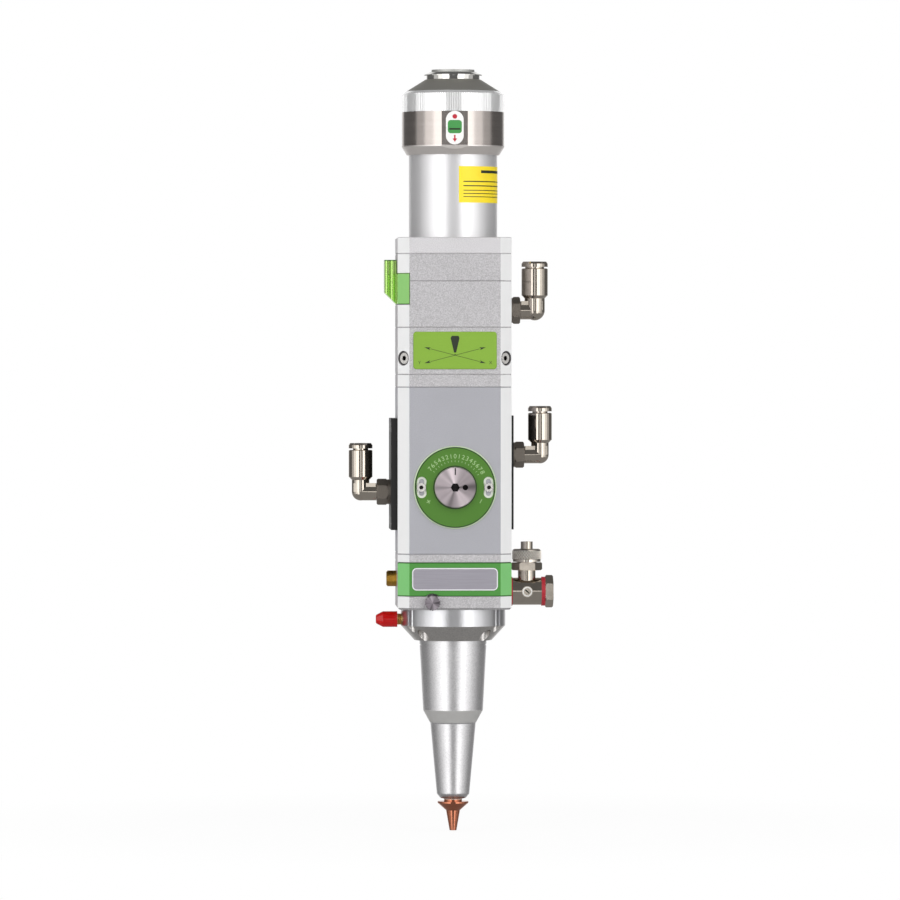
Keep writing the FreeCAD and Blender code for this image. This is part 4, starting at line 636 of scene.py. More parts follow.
@dataclass(frozen=True)
class Rows:
    """The numbers of one repeat: how many of a form stand round an axis, and where."""

    count: int
    rows: int
    radius: float
    row_pitch: float = 0.0
    first_degrees: float = 0.0
    step_degrees: float = 0.0
    stagger: float = 0.0

    def repeat(self, form: bpy.types.Object, finish: bpy.types.Material,
               place: Matrix) -> None:
        """Turn one form into its rows, as a plain mesh in its place.

        Args:
            form: The form at the origin, pointing along +X.
            finish: Its material.
            place: Takes the Z axis to the real axis.
        """
        tree = bpy.data.node_groups.get("rows_round_an_axis") or row_tree()
        modifier = form.modifiers.new("rows", "NODES")
        modifier.node_group = tree
        values = {
            "Count": self.count, "Rows": self.rows, "Radius": self.radius,
            "Row pitch": self.row_pitch, "First angle": math.radians(self.first_degrees),
            "Step angle": math.radians(self.step_degrees), "Stagger": self.stagger,
            "Finish": finish}
        for item in tree.interface.items_tree:
            if item.in_out == "INPUT" and item.name in values:
                modifier[item.identifier] = values[item.name]
        mesh = plain_mesh(form)
        form.modifiers.remove(modifier)
        mesh.transform(place)
        form.data = mesh


@dataclass
class Dressing:
    """What every sub-assembly shares: the finishes, and how a new piece is made."""

    finishes: dict[str, bpy.types.Material]

    def add(self, name: str, draw: Drawing, body: str, finish: str, slot: str = "",
            rows: Optional[Rows] = None, place: Matrix = Matrix()) -> None:
        """Make a piece, dress it, give it its body, and report it.

        Args:
            name: The piece's name.
            draw: Draws it, or the form that its rows repeat.
            body: The body it rides on.
            finish: The finish's name.
            slot: The name of a material slot, where the piece takes one; it is not used.
            rows: How the form repeats, where it does.
            place: Where the rows go.
        """
        piece = new_mesh(name, draw)
        if rows:
            rows.repeat(piece, self.finishes[finish], place)
        piece.data.materials.clear()
        piece.data.materials.append(self.finishes[finish])
        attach(piece, body)
        LOG.info("%s rides on %s in %s", name, body, finish)


@dataclass
class FocusDial(Dressing):
    """The scale ring's engraved ticks, numbers and signs, and a dark ring of painted shadow round
    the knob, where the gap between knob and ring lies.
    """

    face_y: float = -61.2 * MM
    tick_inner: float = 13.4 * MM
    tick_outer: float = 14.3 * MM
    tick_width: float = 0.22 * MM
    number_radius: float = 16.3 * MM
    number_size: float = 3.3 * MM
    step_degrees: float = 7.64
    lowest: int = -7
    highest: int = 8
    gap_outer: float = 11.45 * MM
    gap_inner: float = 11.0 * MM
    sign_degrees: float = 118.0
    sign_radius: float = 15.6 * MM
    sign_size: float = 4.62 * MM

    def tick(self, work: Work) -> None:
        """Draw one tick, flat in x and y."""
        long = self.tick_outer - self.tick_inner
        bmesh.ops.create_cube(work, matrix=Matrix.Diagonal(
            (long, self.tick_width, 2 * PROUD, 1)))

    def letters(self, work: Work) -> None:
        """Draw the numbers and the two signs, each upright to the dial's middle."""
        marks = [(str(abs(value)), value * self.step_degrees, self.number_radius,
                  self.number_size) for value in range(self.lowest, self.highest + 1)]
        marks += [(word, sign * self.sign_degrees, self.sign_radius, self.sign_size)
                  for sign, word in ((-1, "+"), (1, "–"))]
        for word, degrees, radius, size in marks:
            turn = Matrix.Rotation(math.radians(degrees), 4, "Y")
            letter(work, word, size, Matrix.Translation((0, 0, DIAL_CENTRE[2])) @ turn
                   @ Matrix.Translation((0, self.face_y - PROUD, radius)))

    def build(self) -> None:
        """Add the ring of painted shadow, the numbers and the ticks to the scale ring."""
        middle = Matrix.Translation((0, 0, DIAL_CENTRE[2]))
        # Painted shadow: a dark ring in ink over the gap round the knob, wider than the gap
        # itself.
        self.add("dial_gap_line", lambda work: frame_ring(
            work, circle(self.gap_outer), circle(self.gap_inner), self.face_y - PROUD,
            self.face_y + PROUD, middle), "scale_ring", "badge_ink")
        self.add("scale_numbers", self.letters, "scale_ring", "engraved_filling")
        rows = Rows(self.highest - self.lowest + 1, 1, (self.tick_inner + self.tick_outer) / 2,
                    first_degrees=90 - self.lowest * self.step_degrees,
                    step_degrees=-self.step_degrees)
        place = Matrix.Translation((0, self.face_y, DIAL_CENTRE[2])) @ Matrix.Rotation(
            math.pi / 2, 4, "X")
        self.add("scale_ticks", self.tick, "scale_ring", "engraved_filling", "", rows, place)


@dataclass
class GasFitting(Dressing):
    """The gas nut's diamond knurl and the slotted mark on the fitting's boss.

    The knurl is a little coarser than the real one, so that it shows at this size.
    """

    columns: int = 32
    rows: int = 5
    diamond_height: float = 1.75 * MM
    diamond_share: float = 0.72
    diamond_top: float = 0.45
    knurl_proud: float = 0.32 * MM
    knurl_base: float = 1.0 * MM
    ring_outer: float = 2.6 * MM
    ring_inner: float = 1.9 * MM
    slot_length: float = 3.0 * MM
    slot_width: float = 0.7 * MM
    slot_degrees: float = 40.0

    def diamond(self, radius: float) -> Drawing:
        """Give the function that draws one blunt diamond, pointing along +X."""
        wide = math.pi * radius / self.columns * self.diamond_share
        tall = self.diamond_height / 2 * self.diamond_share
        return lambda work: loft(work, [
            [(x, y * share, z * share)
             for y, z in ((-wide, 0), (0, -tall), (wide, 0), (0, tall))]
            for x, share in ((-PROUD, 1.0), (self.knurl_proud, self.diamond_top))])

    def build(self) -> None:
        """Add the knurl to the nut, and the ring and slot to the boss."""
        low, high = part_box("gas_nut")
        centre = [(low[i] + high[i]) / 2 for i in range(3)]
        radius = (high[0] - low[0]) / 2
        start = low[2] + self.knurl_base + self.diamond_height / 2
        # The knurl's points take a painted highlight, over the nut's band of painted shade.
        self.add("gas_nut_knurl", self.diamond(radius), "gas_nut", "rubbed_nickel",
                 "nickel_plate",
                 Rows(self.columns, self.rows, radius, self.diamond_height / 2, 0.0,
                      360 / self.columns, 0.5),
                 Matrix.Translation((centre[0], centre[1], start)))
        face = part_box("banjo_body")[0][1]
        bolt_low, bolt_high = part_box("banjo_bolt")
        place = Matrix.Translation((centre[0], 0, (bolt_low[2] + bolt_high[2]) / 2))
        self.add("boss_ring", lambda work: frame_ring(
            work, circle(self.ring_outer), circle(self.ring_inner), face - PROUD,
            face + PROUD, place), "head", "chrome", "nickel_plate")
        x, z = self.slot_length / 2, self.slot_width / 2
        tilt = place @ Matrix.Rotation(math.radians(self.slot_degrees), 4, "Y")
        self.add("boss_slot", lambda work: printed(
            work, [(-x, -z), (x, -z), (x, z), (-x, z)], face, tilt), "head", "badge_ink")


@dataclass
class FramePlate(Dressing):
    """The bare nameplate's bright raised rim."""

    rim_width: float = 0.55 * MM
    corner: float = 2.4 * MM

    def build(self) -> None:
        """Add the rim to the plate's face."""
        low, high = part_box("nameplate")
        width, height = high[0] - low[0], high[2] - low[2]
        middle = ((low[0] + high[0]) / 2, (low[2] + high[2]) / 2)
        inset = self.rim_width * 2
        outer = rounded(width, height, self.corner, centre=middle)
        inner = rounded(width - inset, height - inset, self.corner - self.rim_width,
                        centre=middle)
        self.add("nameplate_rim", lambda work: frame_ring(
            work, outer, inner, low[1] - 2 * PROUD, low[1] + PROUD), "lower_drawer",
            "bright_rim", "silver_plate")


@dataclass
class CapThread(Dressing):
    """The rolled ridges on the gold connector, between the flange and the red cap."""

    ridges: int = 4
    pitch: float = 0.5 * MM
    proud: float = 0.22 * MM
    segments: int = 40

    def build(self) -> None:
        """Add the ridges round the connector, each a ring with a pointed section."""
        low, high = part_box("sensor_connector")
        radius = (high[2] - low[2]) / 2
        section = ((radius - PROUD, -self.pitch / 2), (radius + self.proud, 0),
                   (radius - PROUD, self.pitch / 2))
        start = (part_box("connector_cap")[1][0] + self.pitch, (low[1] + high[1]) / 2,
                 (low[2] + high[2]) / 2)
        self.add("connector_thread", lambda work: loft(work, [
            [(r * x, r * y, z) for r, z in section] for x, y in circle(1.0, self.segments)],
            ends=False), "head", "gold_plate", "gold_plate",
            Rows(1, self.ridges, 0.0, self.pitch),
            Matrix.Translation(start) @ Matrix.Rotation(math.pi / 2, 4, "Y"))


@dataclass
class CentringBadge(Dressing):
    """The green plate's sign for the two centring axes: a beam over two crossing arrows."""

    face_y: float = -60.8 * MM
    cross_z: float = 60.8 * MM
    reach_x: float = 16.2 * MM
    reach_z: float = 4.2 * MM
    line_width: float = 0.22 * MM
    head_length: float = 3.4 * MM
    head_width: float = 1.5 * MM
    head_notch: float = 0.68 * MM
    beam_top: float = 71.0 * MM
    beam_foot: float = 62.2 * MM
    beam_half_top: float = 2.35 * MM
    beam_half_foot: float = 0.55 * MM
    beam_corner: Point = (0.5875 * MM, 1.2 * MM)
    spot: Point = (0.5 * MM, 0.75 * MM)
    letter_size: float = 2.3 * MM
    letter_x: float = 18.7 * MM
    letter_z: float = 56.8 * MM

    def arrows(self, work: Work) -> None:
        """Draw two thin crossing lines with a head at each end, and the two axis letters."""
        start = Vector((0.0, self.cross_z))
        for sign_x, sign_z in ((-1, -1), (-1, 1), (1, -1), (1, 1)):
            reach = Vector((sign_x * self.reach_x, sign_z * self.reach_z))
            along = reach.normalized()
            tip = start + reach
            neck = tip - along * self.head_length
            across = Vector((-along.y, along.x))
            thin, wide = across * self.line_width / 2, across * self.head_width / 2
            printed(work, [start - thin, neck - thin, neck + thin, start + thin], self.face_y)
            printed(work, [neck - wide, tip, neck + wide, neck + along * self.head_notch],
                    self.face_y)
        for sign, word in ((-1, "Y"), (1, "X")):
            letter(work, word, self.letter_size, Matrix.Translation(
                (sign * self.letter_x, self.face_y - PROUD, self.letter_z)))

    def beam(self, work: Work) -> None:
        """Draw the dark cone of the beam and the spot where it meets the cross."""
        foot, top = self.beam_half_foot, self.beam_half_top
        edge, shoulder = top - self.beam_corner[0], self.beam_top - self.beam_corner[1]
        printed(work, [
            (-foot, self.beam_foot), (foot, self.beam_foot), (top, shoulder),
            (edge, self.beam_top), (-edge, self.beam_top), (-top, shoulder)], self.face_y)
        half, tall = self.spot
        printed(work, [(-half, self.cross_z), (half, self.cross_z), (0, self.cross_z + tall)],
                self.face_y)

    def build(self) -> None:
        """Add the sign to the plate."""
        self.add("badge_arrows", self.arrows, "head", "badge_ink")
        self.add("badge_beam", self.beam, "head", "badge_ink")


@dataclass
class RingPlaque(Dressing):
    """The small oval plaque's printed dot, field, bar and arrow."""

    face_y: float = -56.91 * MM
    corner_steps: int = 6
    dot_z: float = 186.4 * MM
    dot_width: float = 2.5 * MM
    dot_round: float = 1.24875 * MM
    field_z: float = 181.0 * MM
    field_width: float = 7.4 * MM
    field_height: float = 7.0 * MM
    field_round: float = 1.6 * MM
    bar_z: float = 179.8 * MM
    bar_width: float = 6.0 * MM
    bar_height: float = 0.9 * MM
    bar_round: float = 0.27 * MM
    arrow_top: float = 176.7 * MM
    arrow_neck: float = 174.8 * MM
    arrow_tip: float = 173.0 * MM
    arrow_half: float = 1.2 * MM
    stem_half: float = 0.4 * MM

    def reds(self, work: Work) -> None:
        """Draw the round dot and the arrow that points down."""
        printed(work, rounded(self.dot_width, self.dot_width, self.dot_round,
                              self.corner_steps, (0, self.dot_z)), self.face_y)
        right = [(self.arrow_half, self.arrow_neck), (self.stem_half, self.arrow_neck),
                 (self.stem_half, self.arrow_top)]
        printed(work, [(0, self.arrow_tip), *right, *[(-x, z) for x, z in reversed(right)]],
                self.face_y)

    def build(self) -> None:
        """Add the prints to the plaque, the bar on top of the field."""
        self.add("plaque_reds", self.reds, "head", "crimson_print")
        self.add("plaque_field", lambda work: printed(work, rounded(
            self.field_width, self.field_height, self.field_round, self.corner_steps,
            (0, self.field_z)), self.face_y), "head", "green_print")
        self.add("plaque_bar", lambda work: printed(work, rounded(
            self.bar_width, self.bar_height, self.bar_round, self.corner_steps // 2,
            (0, self.bar_z)), self.face_y - PROUD), "head", "badge_ink")


@dataclass
class TubeLabel(Dressing):
    """A bare yellow label round the collimator tube, with a few plain ruled bars."""

    radius: float = 23.4 * MM
    low: float = 141.2 * MM
    high: float = 160.4 * MM
    start_degrees: float = 5.6
    sweep_degrees: float = 98.0
    thickness: float = 0.12 * MM
    steps: int = 48
    # Each bar's start and end as shares of the sweep, its foot and its height in mm
    bars: tuple[tuple[float, float, float, float], ...] = (
        (0.32, 0.94, 15.6, 1.5), (0.06, 0.88, 10.9, 0.55), (0.06, 0.94, 8.6, 0.55),
        (0.06, 0.90, 6.3, 0.4), (0.06, 0.94, 4.6, 0.4), (0.06, 0.78, 2.9, 0.4))

    def sheet(self, work: Work, span: Point, levels: Point, radii: Point) -> None:
        """Wrap a band round the tube.

        Args:
            work: The bmesh that takes it.
            span: Its start and end, as shares of the sweep.
            levels: Its lower and upper edge.
            radii: Its inner and outer radius.
        """
        (start, end), (low, high), (inner, outer) = span, levels, radii
        count = max(2, round(self.steps * (end - start)))
        loops = []
        for i in range(count + 1):
            share = start + (end - start) * i / count
            turn = math.radians(self.start_degrees + share * self.sweep_degrees)
            loops.append([
                (r * math.sin(turn), BEAM_Y - r * math.cos(turn), z)
                for r, z in ((inner, low), (outer, low), (outer, high), (inner, high))])
        loft(work, loops)

    def ruled(self, work: Work) -> None:
        """Draw the ruled bars on the label."""
        face = self.radius + self.thickness
        for start, end, level, height in self.bars:
            foot = self.low + level * MM
            self.sheet(work, (start, end), (foot, foot + height * MM),
                       (face - PROUD, face + PROUD))

    def build(self) -> None:
        """Add the label and its bars to the tube."""
        self.add("tube_label", lambda work: self.sheet(
            work, (0, 1), (self.low, self.high),
            (self.radius - PROUD, self.radius + self.thickness)), "head", "yellow_label")
        self.add("label_bars", self.ruled, "head", "badge_ink")


@dataclass(frozen=True)
class Softbox:
    """One lamp of the studio: where it stands, its size and its strength."""

    name: str
    azimuth_degrees: float
    elevation_degrees: float
    width: float
    height: float
    power: float
    in_gloss: bool = True


@dataclass
class Studio:
    """The pale floor, the white room, the lamps and the camera."""

    floor_z: float = -0.1916
    floor_half: float = 1.5
    floor_colour: str = "#f4f4f4"
    floor_seen: float = 0.94
    floor_in_gloss: float = 0.2
    shadow_reach: float = 0.25
    shadow_end: float = 0.375
    room_level: float = 0.34
    room_in_gloss: float = 0.15
    white_from: float = 0.84
    white_full: float = 0.92
    target: Spot = (-0.0016, -0.030, 0.0106)
    distance: float = 3.71
    lens: float = 280.0
    azimuth_degrees: float = -2.0
    elevation_degrees: float = 0.7
    box_distance: float = 2.0
    softboxes: tuple[Softbox, ...] = (
        Softbox("inner_left", -32.0, 8.4, 1.0, 3.4, 22.1),
        Softbox("inner_right", 32.0, 8.4, 1.0, 3.4, 22.7),
        Softbox("middle_left", -57.0, 12.0, 0.78, 3.0, 9.6),
        Softbox("middle_right", 57.0, 12.0, 0.78, 3.0, 8.4),
        Softbox("outer_left", -80.0, 12.0, 0.9, 3.0, 4.4),
        Softbox("outer_right", 80.0, 12.0, 0.9, 3.0, 4.0),
        Softbox("softbox_top", 0.0, 78.0, 2.3, 3.0, 10.0, in_gloss=False),
        Softbox("front_panel", 0.0, 0.0, 0.32, 0.32, 0.36))

    @staticmethod
    def sight(node: Callable[..., Node]) -> tuple[Any, Node]:
        """Give the light paths, and 1 for what is seen directly or through glass."""
        paths = node("ShaderNodeLightPath", {}).outputs
        return paths, node("ShaderNodeMath", {
            0: paths["Is Camera Ray"], 1: paths["Is Transmission Ray"]}, operation="MAXIMUM")

    def floor_paint(self) -> bpy.types.Material:
        """Make the floor's pale surface: white by sight, with the shadow close to the head.

        Returns:
            The material. In gloss it shows a share of the pale floor over the lamps, as a
            glass table does, so that round metal keeps its dark edges.
        """
        made = bpy.data.materials.new("studio_floor")
        node = partial(add_node, empty_tree(made))
        paths, sight = self.sight(node)
        gloss = node("ShaderNodeMath", {0: paths["Is Glossy Ray"], 1: self.floor_in_gloss},
                     operation="MULTIPLY")
        away = node("ShaderNodeVectorMath", {
            0: node("ShaderNodeTexCoord", {}).outputs["Object"]}, operation="LENGTH")
        seen = node("ShaderNodeMapRange", {
            "Value": away.outputs["Value"], "From Min": self.shadow_reach,
            "From Max": self.shadow_end, "To Min": self.floor_seen})
        share = node("ShaderNodeMath", {0: sight, 1: seen, 2: gloss},
                     operation="MULTIPLY_ADD")
        chalk = node("ShaderNodeBsdfDiffuse", {"Color": linear(self.floor_colour)})
        clear = node("ShaderNodeBsdfTransparent", {})
        table = node("ShaderNodeMixShader", {0: paths["Is Glossy Ray"], 1: chalk, 2: clear})
        white = node("ShaderNodeEmission", {"Color": (1, 1, 1, 1), "Strength": 1.0})
        mix = node("ShaderNodeMixShader", {0: share, 1: table, 2: white})
        back = node("ShaderNodeNewGeometry", {}).outputs["Backfacing"]
        node("ShaderNodeOutputMaterial", {
            "Surface": node("ShaderNodeMixShader", {0: back, 1: mix, 2: clear})})
        return made

    def floor(self) -> None:
        """Add the floor."""
        half, low = self.floor_half, self.floor_z
        mesh = bpy.data.meshes.new("floor")
        mesh.from_pydata([(-half, -half, low), (half, -half, low), (half, half, low),
                          (-half, half, low)], [], [(0, 1, 2, 3)])
        mesh.materials.append(self.floor_paint())
        sheet = bpy.data.objects.new("floor", mesh)
        bpy.context.scene.collection.objects.link(sheet)

    def room(self) -> None:
        """Make the room: white to the eye, white behind the head in gloss, dim elsewhere."""
        world = bpy.data.worlds.new("room")
        bpy.context.scene.world = world
        node = partial(add_node, empty_tree(world))
        paths, sight = self.sight(node)
        way = node("ShaderNodeSeparateXYZ", {
            0: node("ShaderNodeTexCoord", {}).outputs["Generated"]})
        behind = node("ShaderNodeMapRange", {
            "Value": way.outputs["Y"], "From Min": self.white_from,
            "From Max": self.white_full})
        gloss = node("ShaderNodeMath", {0: paths["Is Glossy Ray"], 1: behind},
                     operation="MULTIPLY")
        share = node("ShaderNodeMath", {0: sight, 1: gloss}, operation="MAXIMUM")
        level = node("ShaderNodeMapRange", {
            "Value": paths["Is Glossy Ray"], "To Min": self.room_level,
            "To Max": self.room_in_gloss})
        dim, white = [
            node("ShaderNodeBackground", {"Color": (1, 1, 1, 1), "Strength": strength})
            for strength in (level, 1.0)]
        node("ShaderNodeOutputWorld", {
            "Surface": node("ShaderNodeMixShader", {0: share, 1: dim, 2: white})})

    def stand(self, data: bpy.types.ID, azimuth_degrees: float, elevation_degrees: float,
              distance: float) -> bpy.types.Object:
        """Set a lamp or the camera up, aimed at the head's middle.

        Args:
            data: The lamp or the camera.
            azimuth_degrees: Its side, where 0 is the front and 90 the right.
            elevation_degrees: Its height as an angle.
            distance: How far away it is.

        Returns:
            The object that holds it.
        """
        a, e = math.radians(azimuth_degrees), math.radians(elevation_degrees)
        away = Vector((math.sin(a) * math.cos(e), -math.cos(a) * math.cos(e), math.sin(e)))
        holder = bpy.data.objects.new(data.name, data)
        holder.location = Vector(self.target) + away * distance
        holder.rotation_mode = "QUATERNION"
        holder.rotation_quaternion = away.to_track_quat("Z", "Y")
        bpy.context.scene.collection.objects.link(holder)
        return holder

    def lamps(self) -> None:
        """Add the softboxes."""
        for box in self.softboxes:
            lamp = bpy.data.lights.new(box.name, "AREA")
            lamp.shape = "RECTANGLE"
            lamp.size = box.width
            lamp.size_y = box.height
            lamp.energy = box.power
            holder = self.stand(lamp, box.azimuth_degrees, box.elevation_degrees,
                                self.box_distance)
            holder.visible_camera = False
            holder.visible_glossy = box.in_gloss

    def camera(self) -> None:
        """Set the camera at the photograph's angle."""
        data = bpy.data.cameras.new("view")
        data.lens = self.lens
        data.sensor_width = 36.0
        data.clip_end = 60.0
        bpy.context.scene.camera = self.stand(
            data, self.azimuth_degrees, self.elevation_degrees, self.distance)

    def build(self) -> None:
        """Set up the whole studio."""
        self.floor()
        self.room()
        self.lamps()
        self.camera()
        bpy.context.scene.view_settings.view_transform = "Standard"


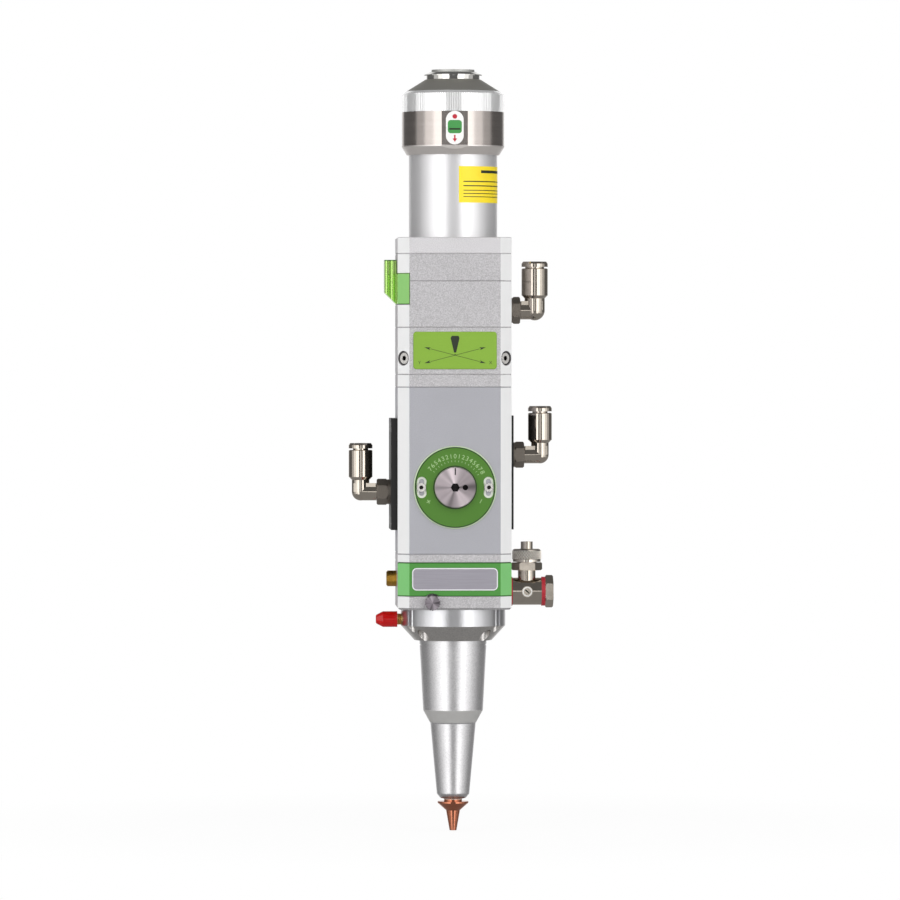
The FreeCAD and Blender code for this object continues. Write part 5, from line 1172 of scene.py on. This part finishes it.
FINISHES: tuple[Finish, ...] = (
    # Bead-blasted, clear-anodised aluminium: an even grey speckle, corner cuts milled brighter
    HousingFinish("blasted_aluminium", "#cac8ca", 0.8, 0.5, Grain.BLASTED, 0.45, 0.06, 0.05,
                  0.24, ("drawer_frame", "lower_adapter", "spacer_plate", "centring_housing",
                         "collimator_housing", "window_housing")),
    # The same on the focus body, where the anodising is a shade darker and cooler
    HousingFinish("blasted_focus_panel", "#babac0", 0.8, 0.5, Grain.BLASTED, 0.4, 0.04, 0.05,
                  0.1, ("focus_housing",)),
    # Turned and blasted tube on a blasted square foot: pale, with soft lights either side
    TubeFinish("tube_aluminium", "#dad8da", 0.65, 0.5, Grain.BLASTED, 0.5, 0.03, 0.05, 0.12,
               ("collimator_tube",)),
    # Satin drum over a dark machined bevel
    LevelFinish("flange_aluminium", "#c9c6c3", 1.0, 0.36, Grain.BLASTED, 0.8, 0.04, 0.04,
                0.12, ("nose_flange",), other_colour="#cdcdcf", other_roughness=0.3,
                levels=(FLANGE_DRUM, TOP)),
    # Cast and blasted nose: two soft lights, and its edges fall off dark; duller on its step
    LevelFinish("blasted_nose", "#dcdbdc", 1.0, 0.37, Grain.BLASTED, 0.7, 0.03, 0.05, 0.12,
                ("nose_cone",), other_colour="#c4c3c1", other_roughness=0.5,
                other_metallic=0.5, levels=NOSE_STEP),
    # Polished flutes that burn out to white, under a bare machined shoulder
    LevelFinish("lock_ring_aluminium", "#ececec", 0.6, 0.18, Grain.TURNED_Z, 0.5, 0.002,
                0.02, 0.01, ("lock_ring",), other_colour="#bcbab4", other_roughness=0.6,
                other_metallic=1.0, levels=(LOCK_SHOULDER, TOP)),
    # Lathe-faced aluminium: a fan of light and dark wedges of painted sheen that meet in the
    # middle, and painted shade in the knob's recesses
    RecessFinish("faced_aluminium", "#bdb2b6", 0.85, 0.4, Grain.TURNED_FACE, 0.4, 0.01, 0.04,
                 0.6, ("focus_knob",), anisotropy=0.7, centre=DIAL_CENTRE,
                 # The second colour is painted shade in the knob's sockets and cuts.
                 other_colour="#262324", within_mm=10.4),
    # The same cut on dull steel, with the same wedges of painted sheen
    Finish("faced_steel", "#968e95", 0.9, 0.42, Grain.TURNED_FACE, 0.4, 0.01, 0.05, 0.6,
           ("thumb_screw",), anisotropy=0.7, centre=THUMB_CENTRE),
    # Plain turned steel inside the head
    Finish("turned_steel", "#9c979b", 1.0, 0.35, Grain.TURNED_Z, 0.4, 0.01, 0.05, 0.05,
           ("centring_slide",)),
    # Fine-turned steel with a warm cast: strong lights, dark edges, a paler lower bevel
    LevelFinish("brushed_steel", "#bdb5b0", 1.0, 0.2, Grain.TURNED_Z, 0.9, 0.002, 0.03, 0.03,
                ("receiver_ring", "fibre_socket"), other_colour="#dcd6d2",
                other_roughness=0.35, other_metallic=0.78, levels=RING_BEVEL),
    # Bright zinc on the heads in the flange's counterbores
    Finish("zinc_plate", "#f0eeea", 0.6, 0.25, Grain.BLASTED, 0.8, 0.004, 0.05, 0.05,
           ("flange_screws",)),
    # Small machine screws and rings, oiled and slightly dull
    Finish("steel_screws", "#8a8684", 1.0, 0.3, Grain.BLASTED, 0.8, 0.004, 0.05, 0.05,
           ("lower_window_ring", "cover_screws", "focus_lens_ring", "collimating_lens_ring",
            "centring_plungers", "upper_window_ring")),
    # Bright zinc screws that catch the lamps, with painted shade in their sockets
    RecessFinish("bright_screws", "#e6e3df", 0.7, 0.25, Grain.BLASTED, 0.8, 0.004, 0.05,
                 0.05, ("scale_screws",), other_colour="#2b2826", below_mm=0.3),
    # The same zinc on the centring screws, which face the corners, with the same painted shade in
    # their sockets
    RecessFinish("corner_screws", "#e6e3df", 0.7, 0.25, Grain.BLASTED, 0.8, 0.004, 0.05,
                 0.05, ("centring_screw_left", "centring_screw_right"),
                 other_colour="#2b2826", below_mm=0.3,
                 facing=(math.sqrt(0.5), math.sqrt(0.5), 0.0)),
    # Mirror chrome, with a matt rim round its mouth
    LevelFinish("chrome", "#d9d7d2", 1.0, 0.07, spread=0.02, nodes=("socket_collar",),
                other_colour="#c9c9c5", other_roughness=0.6, levels=(COLLAR_RIM, TOP)),
    # Bright nickel over brass: a mirror with a faint yellow-grey cast
    Finish("nickel_plate", "#c4bbaf", 1.0, 0.1, Grain.PLAIN, 3.0, 0.0, 0.03, 0.03,
           ("banjo_bolt", "banjo_body", "elbow_upper", "elbow_middle", "elbow_left",
            "collet_upper", "collet_middle", "collet_left")),
    # The same nickel on the gas nut, with painted shade between the points of its knurl
    LevelFinish("knurled_nickel", "#d6cec3", 1.0, 0.12, Grain.PLAIN, 3.0, 0.0, 0.03, 0.03,
                ("gas_nut",), other_colour="#2a2521", other_roughness=0.3,
                levels=NUT_KNURL),
    # The tops of that knurl, pale and diffuse as a painted highlight
    Finish("rubbed_nickel", "#fbf4ea", 0.15, 0.3, Grain.BLASTED, 0.8, 0.004, 0.05, 0.05),
    # The same nickel, bead-blasted and duller, on the threaded studs
    Finish("dull_nickel", "#958d84", 1.0, 0.32, Grain.BLASTED, 0.5, 0.02, 0.05, 0.15,
           ("port_studs",)),
    # Dyed green, with a bright bare bevel round the rim, a line of painted shade inside it, and
    # slot ledges painted bright against their shade
    ScaleFinish("green_scale", "#4f7f2d", 0.3, 0.42, Grain.BLASTED, 0.6, 0.01, 0.04, 0.05,
                ("scale_ring",), centre=DIAL_CENTRE, other_colour="#c9dcb8",
                other_roughness=0.35),
    # Dyed green with lighter corner cuts, and dark lines of painted shade along its upper and
    # lower edges for the gaps' shadows
    DrawerFinish("green_anodised", "#add676", 0.75, 0.25, Grain.BLASTED, 0.6, 0.004, 0.04,
                 0.05, ("upper_drawer",), other_colour="#8fca75", other_metallic=0.2),
    # The same dye, deeper, on the lower drawer, with the same lines of painted shade
    DrawerFinish("green_front", "#4f9442", 0.3, 0.4, Grain.BLASTED, 0.6, 0.01, 0.04, 0.05,
                 ("lower_drawer",), other_colour="#82cb7b"),
    # Screen-printed green plate
    Finish("green_plate", "#80a834", 0.1, 0.45, Grain.BLASTED, 0.8, 0.0, 0.03, 0.03,
           ("centring_badge",)),
    # Black anodising with a fine blasted tooth
    Finish("black_anodised", "#161616", 0.2, 0.5, Grain.BLASTED, 0.5, 0.01, 0.05, 0.1,
           ("left_cover", "right_cover", "focus_barrel", "centring_cell")),
    # Brushed silver plate with a lilac cast
    Finish("silver_plate", "#a3a0a9", 0.5, 0.42, Grain.BRUSHED, 0.4, 0.006, 0.05, 0.05,
           ("nameplate",)),
    # Its polished raised rim
    Finish("bright_rim", "#f0eff2", 0.3, 0.3, Grain.PLAIN, 2.0, 0.0, 0.03, 0.02),
    # Printed white plastic film
    Finish("white_plate", "#ebeae8", 0.1, 0.5, Grain.BLASTED, 0.6, 0.01, 0.04, 0.06,
           ("ring_plaque",)),
    # Turned copper, gone brown where the jet heats it
    Finish("copper", "#b8755a", 1.0, 0.18, Grain.TURNED_Z, 0.5, 0.002, 0.04, 0.08,
           ("nozzle",)),
    # Turned brass: warm yellow with fine rings
    Finish("brass", "#c2953f", 1.0, 0.22, Grain.TURNED_X, 0.5, 0.006, 0.05, 0.06,
           ("vent_plug", "focus_rack", "focus_pinion", "focus_bush")),
    # Thin gold on the coaxial connector
    Finish("gold_plate", "#e0c283", 1.0, 0.16, Grain.PLAIN, 1.5, 0.0, 0.04, 0.06,
           ("sensor_connector",)),
    # Glazed alumina: a cream white under a clear gloss
    Finish("ceramic", "#e8e2d4", 0.0, 0.25, Grain.PLAIN, 3.0, 0.0, 0.04, 0.03,
           ("insulator",), coat=0.4),
    # Dipped soft plastic: deep red with one sharp light
    Finish("red_plastic", "#b80303", 0.0, 0.15, Grain.PLAIN, 4.0, 0.0, 0.04, 0.05,
           ("connector_cap",)),
    # Red sealing washers, quite matt
    Finish("red_seal", "#ab1c2a", 0.0, 0.5, Grain.BLASTED, 0.5, 0.01, 0.05, 0.05,
           ("banjo_washers",)),
    # Coated fused silica: clear with a faint blue
    Finish("optic_glass", "#eaf4f8", 0.0, 0.04, Grain.PLAIN, 6.0, 0.0, 0.01,
           nodes=("lower_window", "focus_lens", "collimating_lens", "upper_window"),
           transmission=0.95),
    # Pale filling of the engraved marks
    Finish("engraved_filling", "#9fc183", 0.0, 0.6, Grain.BLASTED, 0.4, 0.0, 0.05, 0.08),
    # Printing inks
    Finish("badge_ink", "#1f2a16", 0.0, 0.5, Grain.BLASTED, 0.5, 0.0, 0.05, 0.1),
    Finish("crimson_print", "#b3122c", 0.0, 0.5, Grain.BLASTED, 0.5, 0.0, 0.05, 0.06),
    Finish("green_print", "#3d8f45", 0.0, 0.5, Grain.BLASTED, 0.5, 0.0, 0.05, 0.06),
    # Satin vinyl label
    Finish("yellow_label", "#f3d920", 0.0, 0.42, Grain.PLAIN, 5.0, 0.0, 0.04, 0.02),
)


def dress_nodes(nodes: dict[str, bpy.types.Object]) -> dict[str, bpy.types.Material]:
    """Make every finish and give it to the solids that have it.

    Args:
        nodes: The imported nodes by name.

    Returns:
        The materials by the finish's name.
    """
    made = {}
    for finish in FINISHES:
        made[finish.name] = finish.build()
        for name in finish.nodes:
            for slot in nodes[name].material_slots:
                slot.material = made[finish.name]
            LOG.info("%s is in %s", name, finish.name)
    return made


def main() -> None:
    """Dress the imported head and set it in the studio."""
    logging.basicConfig(level=logging.INFO, format="%(name)s: %(message)s")
    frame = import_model()
    finishes = dress_nodes(frame["nodes"])
    for group in (FocusDial, CentringBadge, RingPlaque, TubeLabel, GasFitting, FramePlate,
                  CapThread):
        group(finishes).build()
    Studio().build()


if __name__ == "__main__":
    main()
